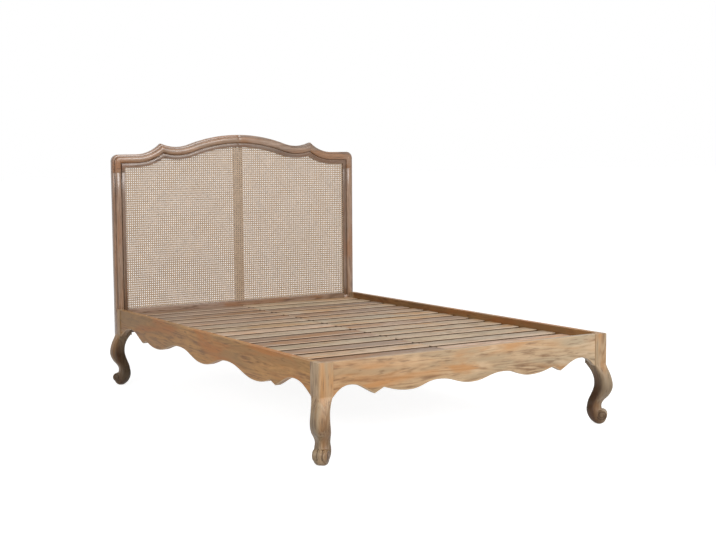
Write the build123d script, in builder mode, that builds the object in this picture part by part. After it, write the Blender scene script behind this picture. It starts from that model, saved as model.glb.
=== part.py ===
from build123d import *
import math
import os

# A wooden bed frame with a cane headboard, cabriole legs and scalloped rails.
# Millimetres, +Z up, +Y towards the head, +X to the right seen from the foot.
# The origin is on the floor under the middle of the bed.

# Driving sizes: the mattress, the heights above the floor and the timber sections
mattress_width = 1400
mattress_length = 2000
mattress_side_gap = 5
mattress_end_gap = 10
rail_top = 402
crown_height = 1307
rail_thickness = 27
rail_reveal = 3
block_side = 66
block_height = 135
headboard_thickness = 38
frame_width = 66

# Headboard outline from the crown outwards: its valley, cusp and shoulder, and how far in from the side
# each lies
valley_drop = 62
valley_in = 368
cusp_rise = 18
cusp_in = 277
shoulder_fall = 55
shoulder_in = 137
corner_radius = 36
corner_joint_drop = 94

# Moulding of the headboard frame: how far each line lies in from the outline, and how deep
base_depth = 28
bead_outer = 10
bead_inner = 44
bead_round = 8
lip_outer = 48
lip_setback = 3
lip_thickness = 8
rebate_width = 12
edge_round = 3

# Cane and what holds it
cane_thickness = 2
cane_tuck = 10
cane_opening = 84
cane_rib = 26
cane_openings_across = 12
cane_bead_depth = 22
mullion_width = 44

# Headboard bottom rail
bottom_rail_drop = 3
bottom_rail_height = 125
bottom_rail_thickness = 30
head_block_depth = 76

# Tenons of the foot rail and the headboard bottom rail
tenon_length = 24
tenon_thickness = 12
tenon_shoulder = 22

# Slatted base
slat_drop = 30
slat_thickness = 18
slat_width = 92
slat_count = 16
slat_end_gap = 4
slat_side_gap = 2
slat_middle_gap = 3
slat_bevel = 2.5
ledge_width = 24
ledge_height = 25
beam_width = 42
beam_height = 60
beam_end_gap = 1
cleat_depth = 24
cleat_wall = 20
cleat_base = 16
cleat_side = 40
seat_clearance = 0.3

# Hardware
hole_clearance = 0.1
tip_clearance = 1
head_clearance = 1
screw_radius = 2.5
screw_head_radius = 5
screw_head_height = 4
screw_recess = 5
screw_length = 36
ledge_screw_count = 4
bracket_thickness = 3
bracket_leg = 38
bracket_block_leg = 30
bracket_height = 32
bracket_drop = 2
bracket_screw_radius = 3
bracket_screw_length = 22
bracket_head_radius = 6
bracket_head_height = 4
bolt_radius = 4
bolt_head_radius = 8
bolt_head_height = 5
bolt_recess = 7
bolt_bite = 28
bolt_spacing = 46

# Places worked out from the sizes above
inner_half_width = mattress_width / 2 + mattress_side_gap
half_width = inner_half_width + rail_thickness + rail_reveal
clear_length = mattress_length + 2 * mattress_end_gap
bed_length = rail_reveal + rail_thickness + clear_length + headboard_thickness - lip_setback
foot_end = -bed_length / 2
head_end = bed_length / 2
foot_rail_front = foot_end + rail_reveal
foot_inner = foot_rail_front + rail_thickness
headboard_front = head_end - headboard_thickness
head_inner = headboard_front + lip_setback
block_inner = half_width - block_side
valley_out = half_width - valley_in
valley_height = crown_height - valley_drop
cusp_out = half_width - cusp_in
cusp_height = valley_height + cusp_rise
shoulder_start = half_width - shoulder_in
shoulder_height = cusp_height - shoulder_fall
corner_joint_height = shoulder_height - corner_joint_drop
front_block_inner = foot_end + block_side
head_block_front = head_end - head_block_depth
leg_height = rail_top - block_height
leg_out = half_width - block_side / 2
front_leg_y = foot_end + block_side / 2
head_leg_y = head_end - block_side / 2
slat_top = rail_top - slat_drop
slat_seat = slat_top - slat_thickness
ledge_bottom = slat_seat - ledge_height
bracket_top = ledge_bottom - bracket_drop
bottom_rail_top = rail_top - bottom_rail_drop
bottom_rail_foot = bottom_rail_top - bottom_rail_height
rebate_foot = bottom_rail_top - rebate_width
cane_front = head_inner + lip_thickness
cane_back = cane_front + cane_thickness
beam_bottom = slat_seat - beam_height
cleat_screw_out = beam_width / 2 + seat_clearance + cleat_wall / 2
cleat_screw_z = beam_bottom + cleat_side / 3
bolt_heights = [(leg_height + slat_seat + shift * bolt_spacing) / 2 for shift in (-1, 1)]

# Cabriole leg: share of the leg's height, shift outwards along X and Y, side, corner radius
leg_stations = [
    (1.00, 0, block_side, 6),
    (0.94, 6.5, 65, 13),
    (0.86, 15, 65, 17),
    (0.76, 21.5, 66, 19),
    (0.65, 24, 69, 20),
    (0.56, 20.5, 71, 22),
    (0.47, 12, 67, 20),
    (0.39, 1.5, 58, 18),
    (0.32, -3, 54, 17),
    (0.24, -3, 62, 24),
    (0.16, 0, 64, 27),
    (0.08, 4, 56, 24),
    (0.00, 7, 36, 14),
]
leg_corner_facets = 3

# Scroll at the toe: a short roll across the leg's outward diagonal, with a round eye on each end
scroll_radius = 23
scroll_out = 25
scroll_height = 42
scroll_half_width = 31
scroll_bevel = 6
eye_radius = 13
eye_proud = 2

# Scalloped rails: share of the half length, and drop below the rail's top
foot_scallop = {
    "lobe_drop": 143,
    "crest": (0.248, 115),
    "lobe": (0.462, 143),
    "notch": (0.647, 121),
    "tip": (0.711, 142),
    "arch": (0.882, 96),
    "spring_drop": 139,
}
side_scallop = {
    "lobe_drop": 146,
    "crest": (0.255, 100),
    "lobe": (0.528, 146),
    "notch": (0.660, 124),
    "tip": (0.703, 139),
    "arch": (0.860, 87),
    "spring_drop": 139,
}
scallop_bevel = 3

os.makedirs("parts", exist_ok=True)


def save(part, name):
    part.label = name
    export_step(part, f"parts/{name}.step")


def scallop_edge(half_length, shape):
    """Half of a rail's lower edge, from the middle out to the end, in the current BuildLine."""
    def at(name):
        share, drop = shape[name]
        return (share * half_length, -drop)

    def swell(start, end):
        reach = 0.45 * (end[0] - start[0])
        Bezier(start, (start[0] + reach, start[1]), (end[0] - reach, end[1]), end)

    middle = (0, -shape["lobe_drop"])
    end = (half_length, -shape["spring_drop"])
    crest, lobe, notch, tip, arch = [at(name) for name in ("crest", "lobe", "notch", "tip", "arch")]
    swell(middle, crest)
    swell(crest, lobe)
    run = notch[0] - lobe[0]
    Bezier(lobe, (lobe[0] + 0.5 * run, lobe[1]), (notch[0] - 0.2 * run, notch[1] - 6), notch)
    Line(notch, tip)
    run = arch[0] - tip[0]
    Bezier(tip, (tip[0] + 0.4 * run, tip[1] + 22), (arch[0] - 0.4 * run, arch[1]), arch)
    run = end[0] - arch[0]
    Bezier(arch, (arch[0] + 0.45 * run, arch[1]), (end[0] - 0.28 * run, end[1] + 24), end)


def rail_profile(half_length, shape):
    """The closed outline of a scalloped rail, its top edge on the local X axis."""
    with BuildSketch(mode=Mode.PRIVATE) as profile:
        with BuildLine():
            scallop_edge(half_length, shape)
            Polyline((half_length, -shape["spring_drop"]), (half_length, 0), (0, 0))
            mirror(about=Plane.YZ)
        make_face()
    return profile.sketch


def bevel_edges(outer_face):
    """The edges of a rail's outer face along its scalloped lower side."""
    return outer_face.edges().filter_by(
        lambda edge: edge.center().Z < rail_top - block_height / 2 and abs(edge.tangent_at(0.5).Z) < 0.95
    )


# Foot rail, with a tenon at each end
foot_half = block_inner
tenon_top = rail_top - tenon_shoulder
tenon_height = block_height - 2 * tenon_shoulder
foot_tenon_y = foot_rail_front + rail_thickness / 2
with BuildPart() as foot_rail:
    with BuildSketch(Plane.XZ.offset(-foot_inner)):
        with Locations((0, rail_top)):
            add(rail_profile(foot_half, foot_scallop))
    extrude(amount=rail_thickness)
    chamfer(bevel_edges(foot_rail.faces().sort_by(Axis.Y)[0]), scallop_bevel)
    with Locations((0, foot_tenon_y, tenon_top - tenon_height / 2)):
        Box(2 * (foot_half + tenon_length), tenon_thickness, tenon_height)
    for side in (-1, 1):
        with Locations(Plane((side * cleat_screw_out, foot_inner, cleat_screw_z), z_dir=(0, 1, 0))):
            Hole(screw_radius + hole_clearance, screw_length + screw_recess - cleat_depth + tip_clearance)
save(foot_rail.part, "foot_rail")


# Side rails, butted between the leg blocks
side_front = front_block_inner
side_back = head_block_front
side_half = (side_back - side_front) / 2
side_middle = (side_front + side_back) / 2
bracket_screw_z = bracket_top - bracket_height / 2
bracket_screw_out = (bracket_thickness + bracket_leg) / 2
bracket_bite = bracket_screw_length - bracket_thickness
ledge_screw_ys = [
    side_middle + (step / (ledge_screw_count - 1) - 0.5) * 1.7 * side_half
    for step in range(ledge_screw_count)
]
ledge_screw_z = ledge_bottom + ledge_height / 2


def side_rail(side):
    outer = side * (inner_half_width + rail_thickness)
    with BuildPart() as rail:
        with BuildSketch(Plane(origin=(outer, side_middle, rail_top), x_dir=(0, 1, 0), z_dir=(1, 0, 0))):
            add(rail_profile(side_half, side_scallop))
        extrude(amount=-side * rail_thickness)
        outer_face = rail.faces().sort_by(Axis.X)[-1 if side > 0 else 0]
        chamfer(bevel_edges(outer_face), scallop_bevel)
        inner = side * inner_half_width
        for y in ledge_screw_ys:
            with Locations(Plane((inner, y, ledge_screw_z), z_dir=(-side, 0, 0))):
                Hole(screw_radius + hole_clearance, screw_length + screw_recess - ledge_width + tip_clearance)
        for y in (side_front + bracket_screw_out, side_back - bracket_screw_out):
            with Locations(Plane((inner, y, bracket_screw_z), z_dir=(-side, 0, 0))):
                Hole(bracket_screw_radius + hole_clearance, bracket_bite + tip_clearance)
    return rail.part


for side, name in ((-1, "left_side_rail"), (1, "right_side_rail")):
    save(side_rail(side), name)


def leg_section(width, radius):
    """A square with rounded corners, each corner a few short straight facets."""
    reach = width / 2 - radius
    corners = ((1, 1), (-1, 1), (-1, -1), (1, -1))
    points = []
    for quarter, (across, along) in enumerate(corners):
        for facet in range(leg_corner_facets + 1):
            turn = math.radians(90 * (quarter + facet / leg_corner_facets))
            points.append((across * reach + radius * math.cos(turn), along * reach + radius * math.sin(turn)))
    return points


def leg_across(side, end):
    """The upright plane along a leg's outward diagonal, its X outwards and its Y up."""
    middle_y = front_leg_y if end < 0 else head_leg_y
    return Plane(origin=(side * leg_out, middle_y, 0), x_dir=(side, end, 0), z_dir=(end, -side, 0))


def cabriole(side, end):
    """The curved part of a leg, from the floor up to its block, with the scroll at its toe."""
    across = leg_across(side, end)
    with BuildPart() as scroll:
        with BuildSketch(across):
            with Locations((scroll_out, scroll_height)):
                Circle(scroll_radius)
        extrude(amount=scroll_half_width, both=True)
        chamfer(scroll.edges().filter_by(GeomType.CIRCLE), scroll_bevel)
        with BuildSketch(across):
            with Locations((scroll_out, scroll_height)):
                Circle(eye_radius)
        extrude(amount=scroll_half_width + eye_proud, both=True)
    with BuildPart() as curved:
        for share, shift, width, radius in reversed(leg_stations):
            spot = across.origin + (side * shift, end * shift, share * leg_height)
            with BuildSketch(Plane(spot)):
                Polygon(*leg_section(width, radius), align=None)
        loft(ruled=True)
        add(scroll.part)
    return curved.part


def bracket_spot_on_block(side, y):
    """Where a bracket's screw goes into a block, at a distance along the bed."""
    return (side * (inner_half_width - (bracket_thickness + bracket_block_leg) / 2), y, bracket_screw_z)


def front_leg(side):
    """A front leg: the block between the rails, notched for the mattress, over its cabriole."""
    curved = cabriole(side, -1)
    with BuildPart() as leg:
        with BuildSketch(Plane.XY.offset(leg_height)):
            with Locations((side * leg_out, front_leg_y)):
                Rectangle(block_side, block_side)
        extrude(amount=block_height)
        outer_post = leg.edges().filter_by(Axis.Z).sort_by(
            lambda edge: side * edge.center().X - edge.center().Y
        )[-1]
        fillet(outer_post, leg_stations[0][3])
        add(curved)
        with Locations((0, (foot_inner + head_inner) / 2, slat_seat)):
            Box(
                2 * inner_half_width,
                head_inner - foot_inner,
                slat_drop + slat_thickness + 1,
                align=(Align.CENTER, Align.CENTER, Align.MIN),
                mode=Mode.SUBTRACT,
            )
        with Locations((side * (block_inner + tenon_length / 2), foot_tenon_y, tenon_top - tenon_height / 2)):
            Box(tenon_length, tenon_thickness, tenon_height, mode=Mode.SUBTRACT)
        with Locations(Plane(bracket_spot_on_block(side, front_block_inner), z_dir=(0, 1, 0))):
            Hole(bracket_screw_radius + hole_clearance, bracket_bite + tip_clearance)
    return leg.part


for side, name in ((-1, "front_left_leg"), (1, "front_right_leg")):
    save(front_leg(side), name)


def head_leg(side):
    """A head leg: half a block in front of the headboard's stile, which stands on its shoulder."""
    curved = cabriole(side, 1)
    with BuildPart() as leg:
        with BuildSketch(Plane.XY.offset(leg_height)):
            with Locations((side * leg_out, (head_block_front + headboard_front) / 2)):
                Rectangle(block_side, headboard_front - head_block_front)
        extrude(amount=block_height)
        add(curved)
        with Locations((0, (foot_inner + head_inner) / 2, slat_seat)):
            Box(
                2 * inner_half_width,
                head_inner - foot_inner,
                slat_drop + slat_thickness + 1,
                align=(Align.CENTER, Align.CENTER, Align.MIN),
                mode=Mode.SUBTRACT,
            )
        with Locations(Plane(bracket_spot_on_block(side, head_block_front), z_dir=(0, -1, 0))):
            Hole(bracket_screw_radius + hole_clearance, bracket_bite + tip_clearance)
        for z in bolt_heights:
            with Locations(Plane((side * leg_out, headboard_front, z), z_dir=(0, 1, 0))):
                Hole(bolt_radius + hole_clearance, bolt_bite + tip_clearance)
    return leg.part


for side, name in ((-1, "head_left_leg"), (1, "head_right_leg")):
    save(head_leg(side), name)


def crest_points():
    """Where the arcs of the serpentine crest meet, and their radii, worked out from its tangents."""
    valley_radius = ((cusp_out - valley_out) ** 2 + cusp_rise**2) / (2 * cusp_rise)
    over = valley_height + valley_radius - crown_height
    hump_radius = (valley_out**2 + over**2 - valley_radius**2) / (2 * (valley_radius - over))
    share = hump_radius / (hump_radius + valley_radius)
    hump_centre = crown_height - hump_radius
    blend = (share * valley_out, hump_centre + share * (valley_height + valley_radius - hump_centre))
    shoulder_radius = ((shoulder_start - cusp_out) ** 2 + shoulder_fall**2) / (2 * shoulder_fall)
    return hump_radius, blend, valley_radius, shoulder_radius


def headboard_outline(inset, foot):
    """The face inside a line that runs at an even inset from the headboard's outline."""
    hump_radius, blend, valley_radius, shoulder_radius = crest_points()
    with BuildSketch(mode=Mode.PRIVATE) as outline:
        with BuildLine():
            RadiusArc((0, crown_height), blend, hump_radius)
            RadiusArc(blend, (cusp_out, cusp_height), -valley_radius)
            RadiusArc((cusp_out, cusp_height), (shoulder_start, shoulder_height), -shoulder_radius)
            Line((shoulder_start, shoulder_height), (half_width - corner_radius, shoulder_height))
            RadiusArc(
                (half_width - corner_radius, shoulder_height),
                (half_width, shoulder_height - corner_radius),
                corner_radius,
            )
            Polyline(
                (half_width, shoulder_height - corner_radius),
                (half_width, foot - 2 * frame_width),
                (0, foot - 2 * frame_width),
            )
            mirror(about=Plane.YZ)
        make_face()
        if inset:
            offset(amount=-inset, kind=Kind.INTERSECTION)
        with Locations((0, foot)):
            Rectangle(
                4 * half_width, 4 * frame_width, align=(Align.CENTER, Align.MAX), mode=Mode.SUBTRACT
            )
    return outline.sketch


def quarter_round(inset, depth, radius, inwards):
    """Insets and depths that round over the arris at an inset, up to a depth."""
    steps = 3
    for step in range(steps + 1):
        turn = math.radians(90 * step / steps)
        shift = radius * (1 - math.cos(turn))
        yield inset + inwards * shift, depth - radius * (1 - math.sin(turn))


def moulded_outline(levels, foot):
    """A solid whose outline steps in or out through the levels, from the headboard's back forwards."""
    with BuildPart() as moulded:
        for inset, depth in levels:
            with BuildSketch(headboard_back.offset(depth)):
                add(headboard_outline(inset, foot))
        loft(ruled=True)
    return moulded.part


# Headboard frame as one moulded ring, cut into its stiles and top rails below
headboard_back = Plane.XZ.offset(-head_end)
below_foot = leg_height - 1
frame_body = moulded_outline([(0, 0), (0, base_depth - edge_round), (edge_round, base_depth)], leg_height)
frame_window = moulded_outline([(frame_width, -1), (frame_width, headboard_thickness + 1)], below_foot)
lip_body = moulded_outline([(lip_outer, 0), (lip_outer, headboard_thickness - lip_setback)], leg_height)
bead_body = moulded_outline(
    [(bead_outer, 0), *quarter_round(bead_outer, headboard_thickness, bead_round, 1)], leg_height
)
bead_window = moulded_outline(
    [(bead_inner, -1), *quarter_round(bead_inner, headboard_thickness, bead_round, -1),
     (bead_inner - bead_round, headboard_thickness + 1)],
    below_foot,
)
with BuildPart() as frame_blank:
    add(bead_body)
    add(bead_window, mode=Mode.SUBTRACT)
    add(frame_body)
    add(lip_body)
    add(frame_window, mode=Mode.SUBTRACT)
    with BuildSketch(headboard_back.offset(-1)):
        add(headboard_outline(frame_width - rebate_width, rebate_foot))
    extrude(amount=headboard_thickness - lip_setback - lip_thickness + 1, mode=Mode.SUBTRACT)

bottom_rail_tenon_y = head_inner + bottom_rail_thickness / 2
bottom_tenon_height = bottom_rail_height - 2 * tenon_shoulder
bottom_tenon_middle = bottom_rail_top - bottom_rail_height / 2


def stile(side):
    """An upright of the headboard: moulded above the rails, plain where the head leg laps it."""
    with BuildPart() as upright:
        add(frame_blank.part)
        split(bisect_by=Plane.XY.offset(corner_joint_height), keep=Keep.BOTTOM)
        split(bisect_by=Plane.YZ, keep=Keep.TOP if side > 0 else Keep.BOTTOM)
        with Locations((side * (block_inner + half_width) / 2, (headboard_front + head_end) / 2, leg_height)):
            Box(
                block_side,
                headboard_thickness,
                rebate_foot - leg_height,
                align=(Align.CENTER, Align.CENTER, Align.MIN),
            )
        with Locations((side * (block_inner + tenon_length / 2), bottom_rail_tenon_y, bottom_tenon_middle)):
            Box(tenon_length, tenon_thickness, bottom_tenon_height, mode=Mode.SUBTRACT)
        for z in bolt_heights:
            with Locations(Plane((side * leg_out, head_end, z), z_dir=(0, 1, 0))):
                CounterBoreHole(bolt_radius + hole_clearance, bolt_head_radius + head_clearance, bolt_recess)
    return upright.part


for side, name in ((-1, "left_stile"), (1, "right_stile")):
    save(stile(side), name)


def top_rail(side):
    """Half of the serpentine top rail, from the joint at the crown to the one below its corner."""
    with BuildPart() as half:
        add(frame_blank.part)
        split(bisect_by=Plane.XY.offset(corner_joint_height), keep=Keep.TOP)
        split(bisect_by=Plane.YZ, keep=Keep.TOP if side > 0 else Keep.BOTTOM)
    return half.part


for side, name in ((-1, "top_rail_left"), (1, "top_rail_right")):
    save(top_rail(side), name)

# Headboard bottom rail, rebated at its top edge behind the cane
with BuildPart() as bottom_rail:
    with Locations((0, head_inner, bottom_rail_foot)):
        Box(
            2 * block_inner,
            bottom_rail_thickness,
            bottom_rail_height,
            align=(Align.CENTER, Align.MIN, Align.MIN),
        )
    front_top = bottom_rail.faces().sort_by(Axis.Y)[0].edges().sort_by(Axis.Z)[-1]
    chamfer(front_top, scallop_bevel)
    with Locations((0, cane_front, rebate_foot)):
        Box(
            2 * half_width,
            headboard_thickness,
            2 * rebate_width,
            align=(Align.CENTER, Align.MIN, Align.MIN),
            mode=Mode.SUBTRACT,
        )
    with Locations((0, bottom_rail_tenon_y, bottom_tenon_middle)):
        Box(2 * (block_inner + tenon_length), tenon_thickness, bottom_tenon_height)
    for side in (-1, 1):
        with Locations(Plane((side * cleat_screw_out, head_inner, cleat_screw_z), z_dir=(0, -1, 0))):
            Hole(screw_radius + hole_clearance, screw_length + screw_recess - cleat_depth + tip_clearance)
save(bottom_rail.part, "headboard_bottom_rail")

# Cane sheet, tucked into the rebate all round, and the mullion behind it. Its weave is open, shown as a
# plain grid of square openings inside a rib that follows the window.
cane_pitch = cane_opening + cane_rib
cane_rows = math.ceil((crown_height - bottom_rail_top) / cane_pitch)
cane_grid_middle = bottom_rail_top + cane_rows * cane_pitch / 2
with BuildSketch(Plane.XZ.offset(-cane_back)) as cane_openings:
    with Locations((0, cane_grid_middle)):
        with GridLocations(cane_pitch, cane_pitch, cane_openings_across, cane_rows):
            Rectangle(cane_opening, cane_opening)
    add(
        headboard_outline(frame_width + cane_rib / 2, bottom_rail_top + cane_rib / 2),
        mode=Mode.INTERSECT,
    )
with BuildPart() as cane_sheet:
    with BuildSketch(Plane.XZ.offset(-cane_back)):
        add(headboard_outline(frame_width - cane_tuck, bottom_rail_top - cane_tuck))
        add(cane_openings.sketch_local, mode=Mode.SUBTRACT)
    extrude(amount=cane_thickness)
save(cane_sheet.part, "cane_sheet")

bead_back = cane_back + cane_bead_depth
with BuildPart() as mullion:
    with BuildSketch(Plane.XZ.offset(-bead_back)):
        add(headboard_outline(frame_width - rebate_width, bottom_rail_top))
        Rectangle(mullion_width, 4 * crown_height, mode=Mode.INTERSECT)
    extrude(amount=cane_bead_depth)
save(mullion.part, "centre_mullion")


# Beads that hold the cane from behind
def cane_bead_ring():
    """The bead that fills the rebate behind the cane, all round the window."""
    with BuildPart() as ring:
        with BuildSketch(Plane.XZ.offset(-bead_back)):
            add(headboard_outline(frame_width - rebate_width, rebate_foot))
            add(headboard_outline(frame_width, bottom_rail_top), mode=Mode.SUBTRACT)
        extrude(amount=cane_bead_depth)
    return ring.part


def cane_bead(low, high, inner, outer):
    """The stretch of the ring between two heights and two distances out along X."""
    with BuildPart() as stretch:
        add(cane_bead_ring())
        with Locations(((inner + outer) / 2, bead_back, (low + high) / 2)):
            Box(outer - inner, 4 * cane_bead_depth, high - low, mode=Mode.INTERSECT)
    return stretch.part


mullion_side = mullion_width / 2
save(cane_bead(rebate_foot, bottom_rail_top, -block_inner, block_inner), "cane_bead_bottom")
for side, word in ((-1, "left"), (1, "right")):
    ends = sorted((side * block_inner, side * half_width))
    save(cane_bead(rebate_foot, corner_joint_height, *ends), f"cane_bead_{word}")
    ends = sorted((side * mullion_side, side * half_width))
    save(cane_bead(corner_joint_height, crown_height, *ends), f"cane_bead_top_{word}")


# Slat ledges, screwed to the side rails between the blocks
def slat_ledge(side):
    inner = side * (inner_half_width - ledge_width)
    with BuildPart() as ledge:
        with Locations((side * (inner_half_width - ledge_width / 2), side_middle, ledge_bottom)):
            Box(ledge_width, 2 * side_half, ledge_height, align=(Align.CENTER, Align.CENTER, Align.MIN))
        for y in ledge_screw_ys:
            with Locations(Plane((inner, y, ledge_screw_z), z_dir=(-side, 0, 0))):
                CounterBoreHole(
                    screw_radius + hole_clearance, screw_head_radius + head_clearance, screw_recess
                )
    return ledge.part


for side, name in ((-1, "left_slat_ledge"), (1, "right_slat_ledge")):
    save(slat_ledge(side), name)

# Centre beam, hung between its cleats
with BuildPart() as centre_beam:
    with Locations((0, (foot_inner + head_inner) / 2, beam_bottom)):
        Box(
            beam_width,
            head_inner - foot_inner - 2 * beam_end_gap,
            beam_height,
            align=(Align.CENTER, Align.CENTER, Align.MIN),
        )
save(centre_beam.part, "centre_beam")


def beam_cleat(face_y, normal):
    """A block with an open slot that carries the beam's end, screwed to the face of a rail."""
    with BuildPart() as cleat:
        middle_y = face_y + normal * cleat_depth / 2
        slot_width = beam_width + 2 * seat_clearance
        with Locations((0, middle_y, beam_bottom - cleat_base)):
            Box(
                slot_width + 2 * cleat_wall,
                cleat_depth,
                cleat_base + cleat_side,
                align=(Align.CENTER, Align.CENTER, Align.MIN),
            )
        with Locations((0, middle_y, beam_bottom)):
            Box(
                slot_width,
                2 * cleat_depth,
                2 * cleat_side,
                align=(Align.CENTER, Align.CENTER, Align.MIN),
                mode=Mode.SUBTRACT,
            )
        for side in (-1, 1):
            spot = (side * cleat_screw_out, face_y + normal * cleat_depth, cleat_screw_z)
            with Locations(Plane(spot, z_dir=(0, normal, 0))):
                CounterBoreHole(
                    screw_radius + hole_clearance, screw_head_radius + head_clearance, screw_recess
                )
    return cleat.part


save(beam_cleat(foot_inner, 1), "foot_beam_cleat")
save(beam_cleat(head_inner, -1), "head_beam_cleat")

# Slats, in pairs that meet over the centre beam
slat_field = head_inner - foot_inner - 2 * slat_end_gap
slat_pitch = (slat_field - slat_width) / (slat_count - 1)
slat_outer = inner_half_width - slat_side_gap
with BuildPart() as slat_blank:
    Box(
        slat_outer - slat_middle_gap,
        slat_width,
        slat_thickness,
        align=(Align.MIN, Align.MIN, Align.MIN),
    )
    top_edges = slat_blank.faces().sort_by(Axis.Z)[-1].edges().filter_by(Axis.X)
    chamfer(top_edges, slat_bevel)


def slat(side, number):
    start = slat_middle_gap if side > 0 else -slat_outer
    with BuildPart() as board:
        with Locations((start, foot_inner + slat_end_gap + number * slat_pitch, slat_seat)):
            add(slat_blank.part)
    return board.part


for number in range(slat_count):
    save(slat(-1, number), f"slat_left_{number + 1:02d}")
    save(slat(1, number), f"slat_right_{number + 1:02d}")


# Steel angle brackets that tie the side rails to the blocks
def bracket_screw_faces(side, face_y, normal):
    """The planes on a bracket's two legs that its screws' heads seat on."""
    rail_spot = (
        side * (inner_half_width - bracket_thickness),
        face_y + normal * bracket_screw_out,
        bracket_screw_z,
    )
    block_spot = bracket_spot_on_block(side, face_y + normal * bracket_thickness)
    return Plane(rail_spot, z_dir=(-side, 0, 0)), Plane(block_spot, z_dir=(0, normal, 0))


def corner_bracket(side, face_y, normal):
    with BuildPart() as bracket:
        inner = side * inner_half_width
        low = bracket_top - bracket_height
        with Locations((inner - side * bracket_thickness / 2, face_y + normal * bracket_leg / 2, low)):
            Box(
                bracket_thickness,
                bracket_leg,
                bracket_height,
                align=(Align.CENTER, Align.CENTER, Align.MIN),
            )
        with Locations((inner - side * bracket_block_leg / 2, face_y + normal * bracket_thickness / 2, low)):
            Box(
                bracket_block_leg,
                bracket_thickness,
                bracket_height,
                align=(Align.CENTER, Align.CENTER, Align.MIN),
            )
        for face in bracket_screw_faces(side, face_y, normal):
            with Locations(face):
                Hole(bracket_screw_radius + hole_clearance, bracket_thickness)
    return bracket.part


bracket_corners = [
    (side, face_y, normal)
    for side in (-1, 1)
    for face_y, normal in ((front_block_inner, 1), (head_block_front, -1))
]
with BuildPart() as corner_brackets:
    for corner in bracket_corners:
        add(corner_bracket(*corner))
save(corner_brackets.part, "corner_brackets")


def screw(seat, length, radius, head_radius, head_height):
    """A screw whose hexagon head seats on a plane, its plain shank in the wood behind it."""
    with BuildPart() as fastener:
        with BuildSketch(seat):
            RegularPolygon(head_radius, 6)
        extrude(amount=head_height)
        with BuildSketch(seat):
            Circle(radius)
        extrude(amount=-length)
    return fastener.part


# Screws of the brackets
bracket_screw = (bracket_screw_length, bracket_screw_radius, bracket_head_radius, bracket_head_height)
with BuildPart() as bracket_screws:
    for corner in bracket_corners:
        for seat in bracket_screw_faces(*corner):
            add(screw(seat, *bracket_screw))
save(bracket_screws.part, "bracket_screws")

# Screws of the ledges and cleats, their heads sunk below the wood
wood_screw = (screw_length, screw_radius, screw_head_radius, screw_head_height)
with BuildPart() as wood_screws:
    for side in (-1, 1):
        for y in ledge_screw_ys:
            spot = (side * (inner_half_width - ledge_width + screw_recess), y, ledge_screw_z)
            add(screw(Plane(spot, z_dir=(-side, 0, 0)), *wood_screw))
        for face_y, normal in ((foot_inner, 1), (head_inner, -1)):
            spot = (side * cleat_screw_out, face_y + normal * (cleat_depth - screw_recess), cleat_screw_z)
            add(screw(Plane(spot, z_dir=(0, normal, 0)), *wood_screw))
save(wood_screws.part, "wood_screws")

# Bolts from the back of the stiles into the head legs
bolt = (headboard_thickness - bolt_recess + bolt_bite, bolt_radius, bolt_head_radius, bolt_head_height)
with BuildPart() as stile_bolts:
    for side in (-1, 1):
        for z in bolt_heights:
            add(screw(Plane((side * leg_out, head_end - bolt_recess, z), z_dir=(0, 1, 0)), *bolt))
save(stile_bolts.part, "stile_bolts")
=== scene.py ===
"""Cane bed: a French style bed frame with a serpentine cane headboard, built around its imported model.

Metres, +Z up, +Y towards the head. Every piece keeps its place in its mesh.
"""

import math
import random

import bmesh
import bpy
from mathutils import Matrix, Vector


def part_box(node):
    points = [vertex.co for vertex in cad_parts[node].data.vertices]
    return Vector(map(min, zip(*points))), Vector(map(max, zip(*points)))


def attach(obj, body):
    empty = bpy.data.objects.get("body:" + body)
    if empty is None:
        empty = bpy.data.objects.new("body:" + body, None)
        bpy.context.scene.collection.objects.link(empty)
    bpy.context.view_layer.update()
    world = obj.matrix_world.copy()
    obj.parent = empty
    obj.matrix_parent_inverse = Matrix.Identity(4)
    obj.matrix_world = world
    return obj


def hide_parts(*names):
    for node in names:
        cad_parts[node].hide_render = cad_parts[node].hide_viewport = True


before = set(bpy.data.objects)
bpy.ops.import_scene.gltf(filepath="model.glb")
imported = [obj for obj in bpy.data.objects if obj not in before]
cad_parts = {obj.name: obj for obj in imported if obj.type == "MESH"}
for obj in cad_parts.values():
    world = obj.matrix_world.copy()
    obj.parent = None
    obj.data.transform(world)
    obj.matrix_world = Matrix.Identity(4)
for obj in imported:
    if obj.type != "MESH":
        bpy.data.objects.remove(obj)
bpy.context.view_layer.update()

bl_info = {
    "name": "Cane bed",
    "version": (1, 0, 0),
    "blender": (4, 5, 0),
    "location": "3D View > Sidebar > Bed",
    "description": "Builds a wooden bed frame with a cane headboard, cabriole legs and slats",
    "category": "Object",
}

MM = 0.001

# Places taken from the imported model
HALF_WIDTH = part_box("right_stile")[1].x
HEAD_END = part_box("right_stile")[1].y
HEADBOARD_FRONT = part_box("right_stile")[0].y
STILE_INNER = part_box("right_stile")[0].x
JOINT_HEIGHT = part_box("right_stile")[1].z
CROWN_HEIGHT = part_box("top_rail_left")[1].z
RAIL_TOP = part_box("right_side_rail")[1].z
RAIL_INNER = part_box("right_side_rail")[0].x
RAIL_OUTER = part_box("right_side_rail")[1].x
RAIL_FRONT_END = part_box("right_side_rail")[0].y
RAIL_BACK_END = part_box("right_side_rail")[1].y
FOOT_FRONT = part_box("foot_rail")[0].y
FOOT_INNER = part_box("foot_rail")[1].y
LEG_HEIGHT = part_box("right_stile")[0].z
HEAD_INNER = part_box("headboard_bottom_rail")[0].y
SLAT_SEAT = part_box("slat_right_01")[0].z
CANE_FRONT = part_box("cane_sheet")[0].y
CANE_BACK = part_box("cane_sheet")[1].y
BEAD_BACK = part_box("cane_bead_left")[1].y
BEAD_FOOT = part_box("cane_bead_left")[0].z
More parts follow.
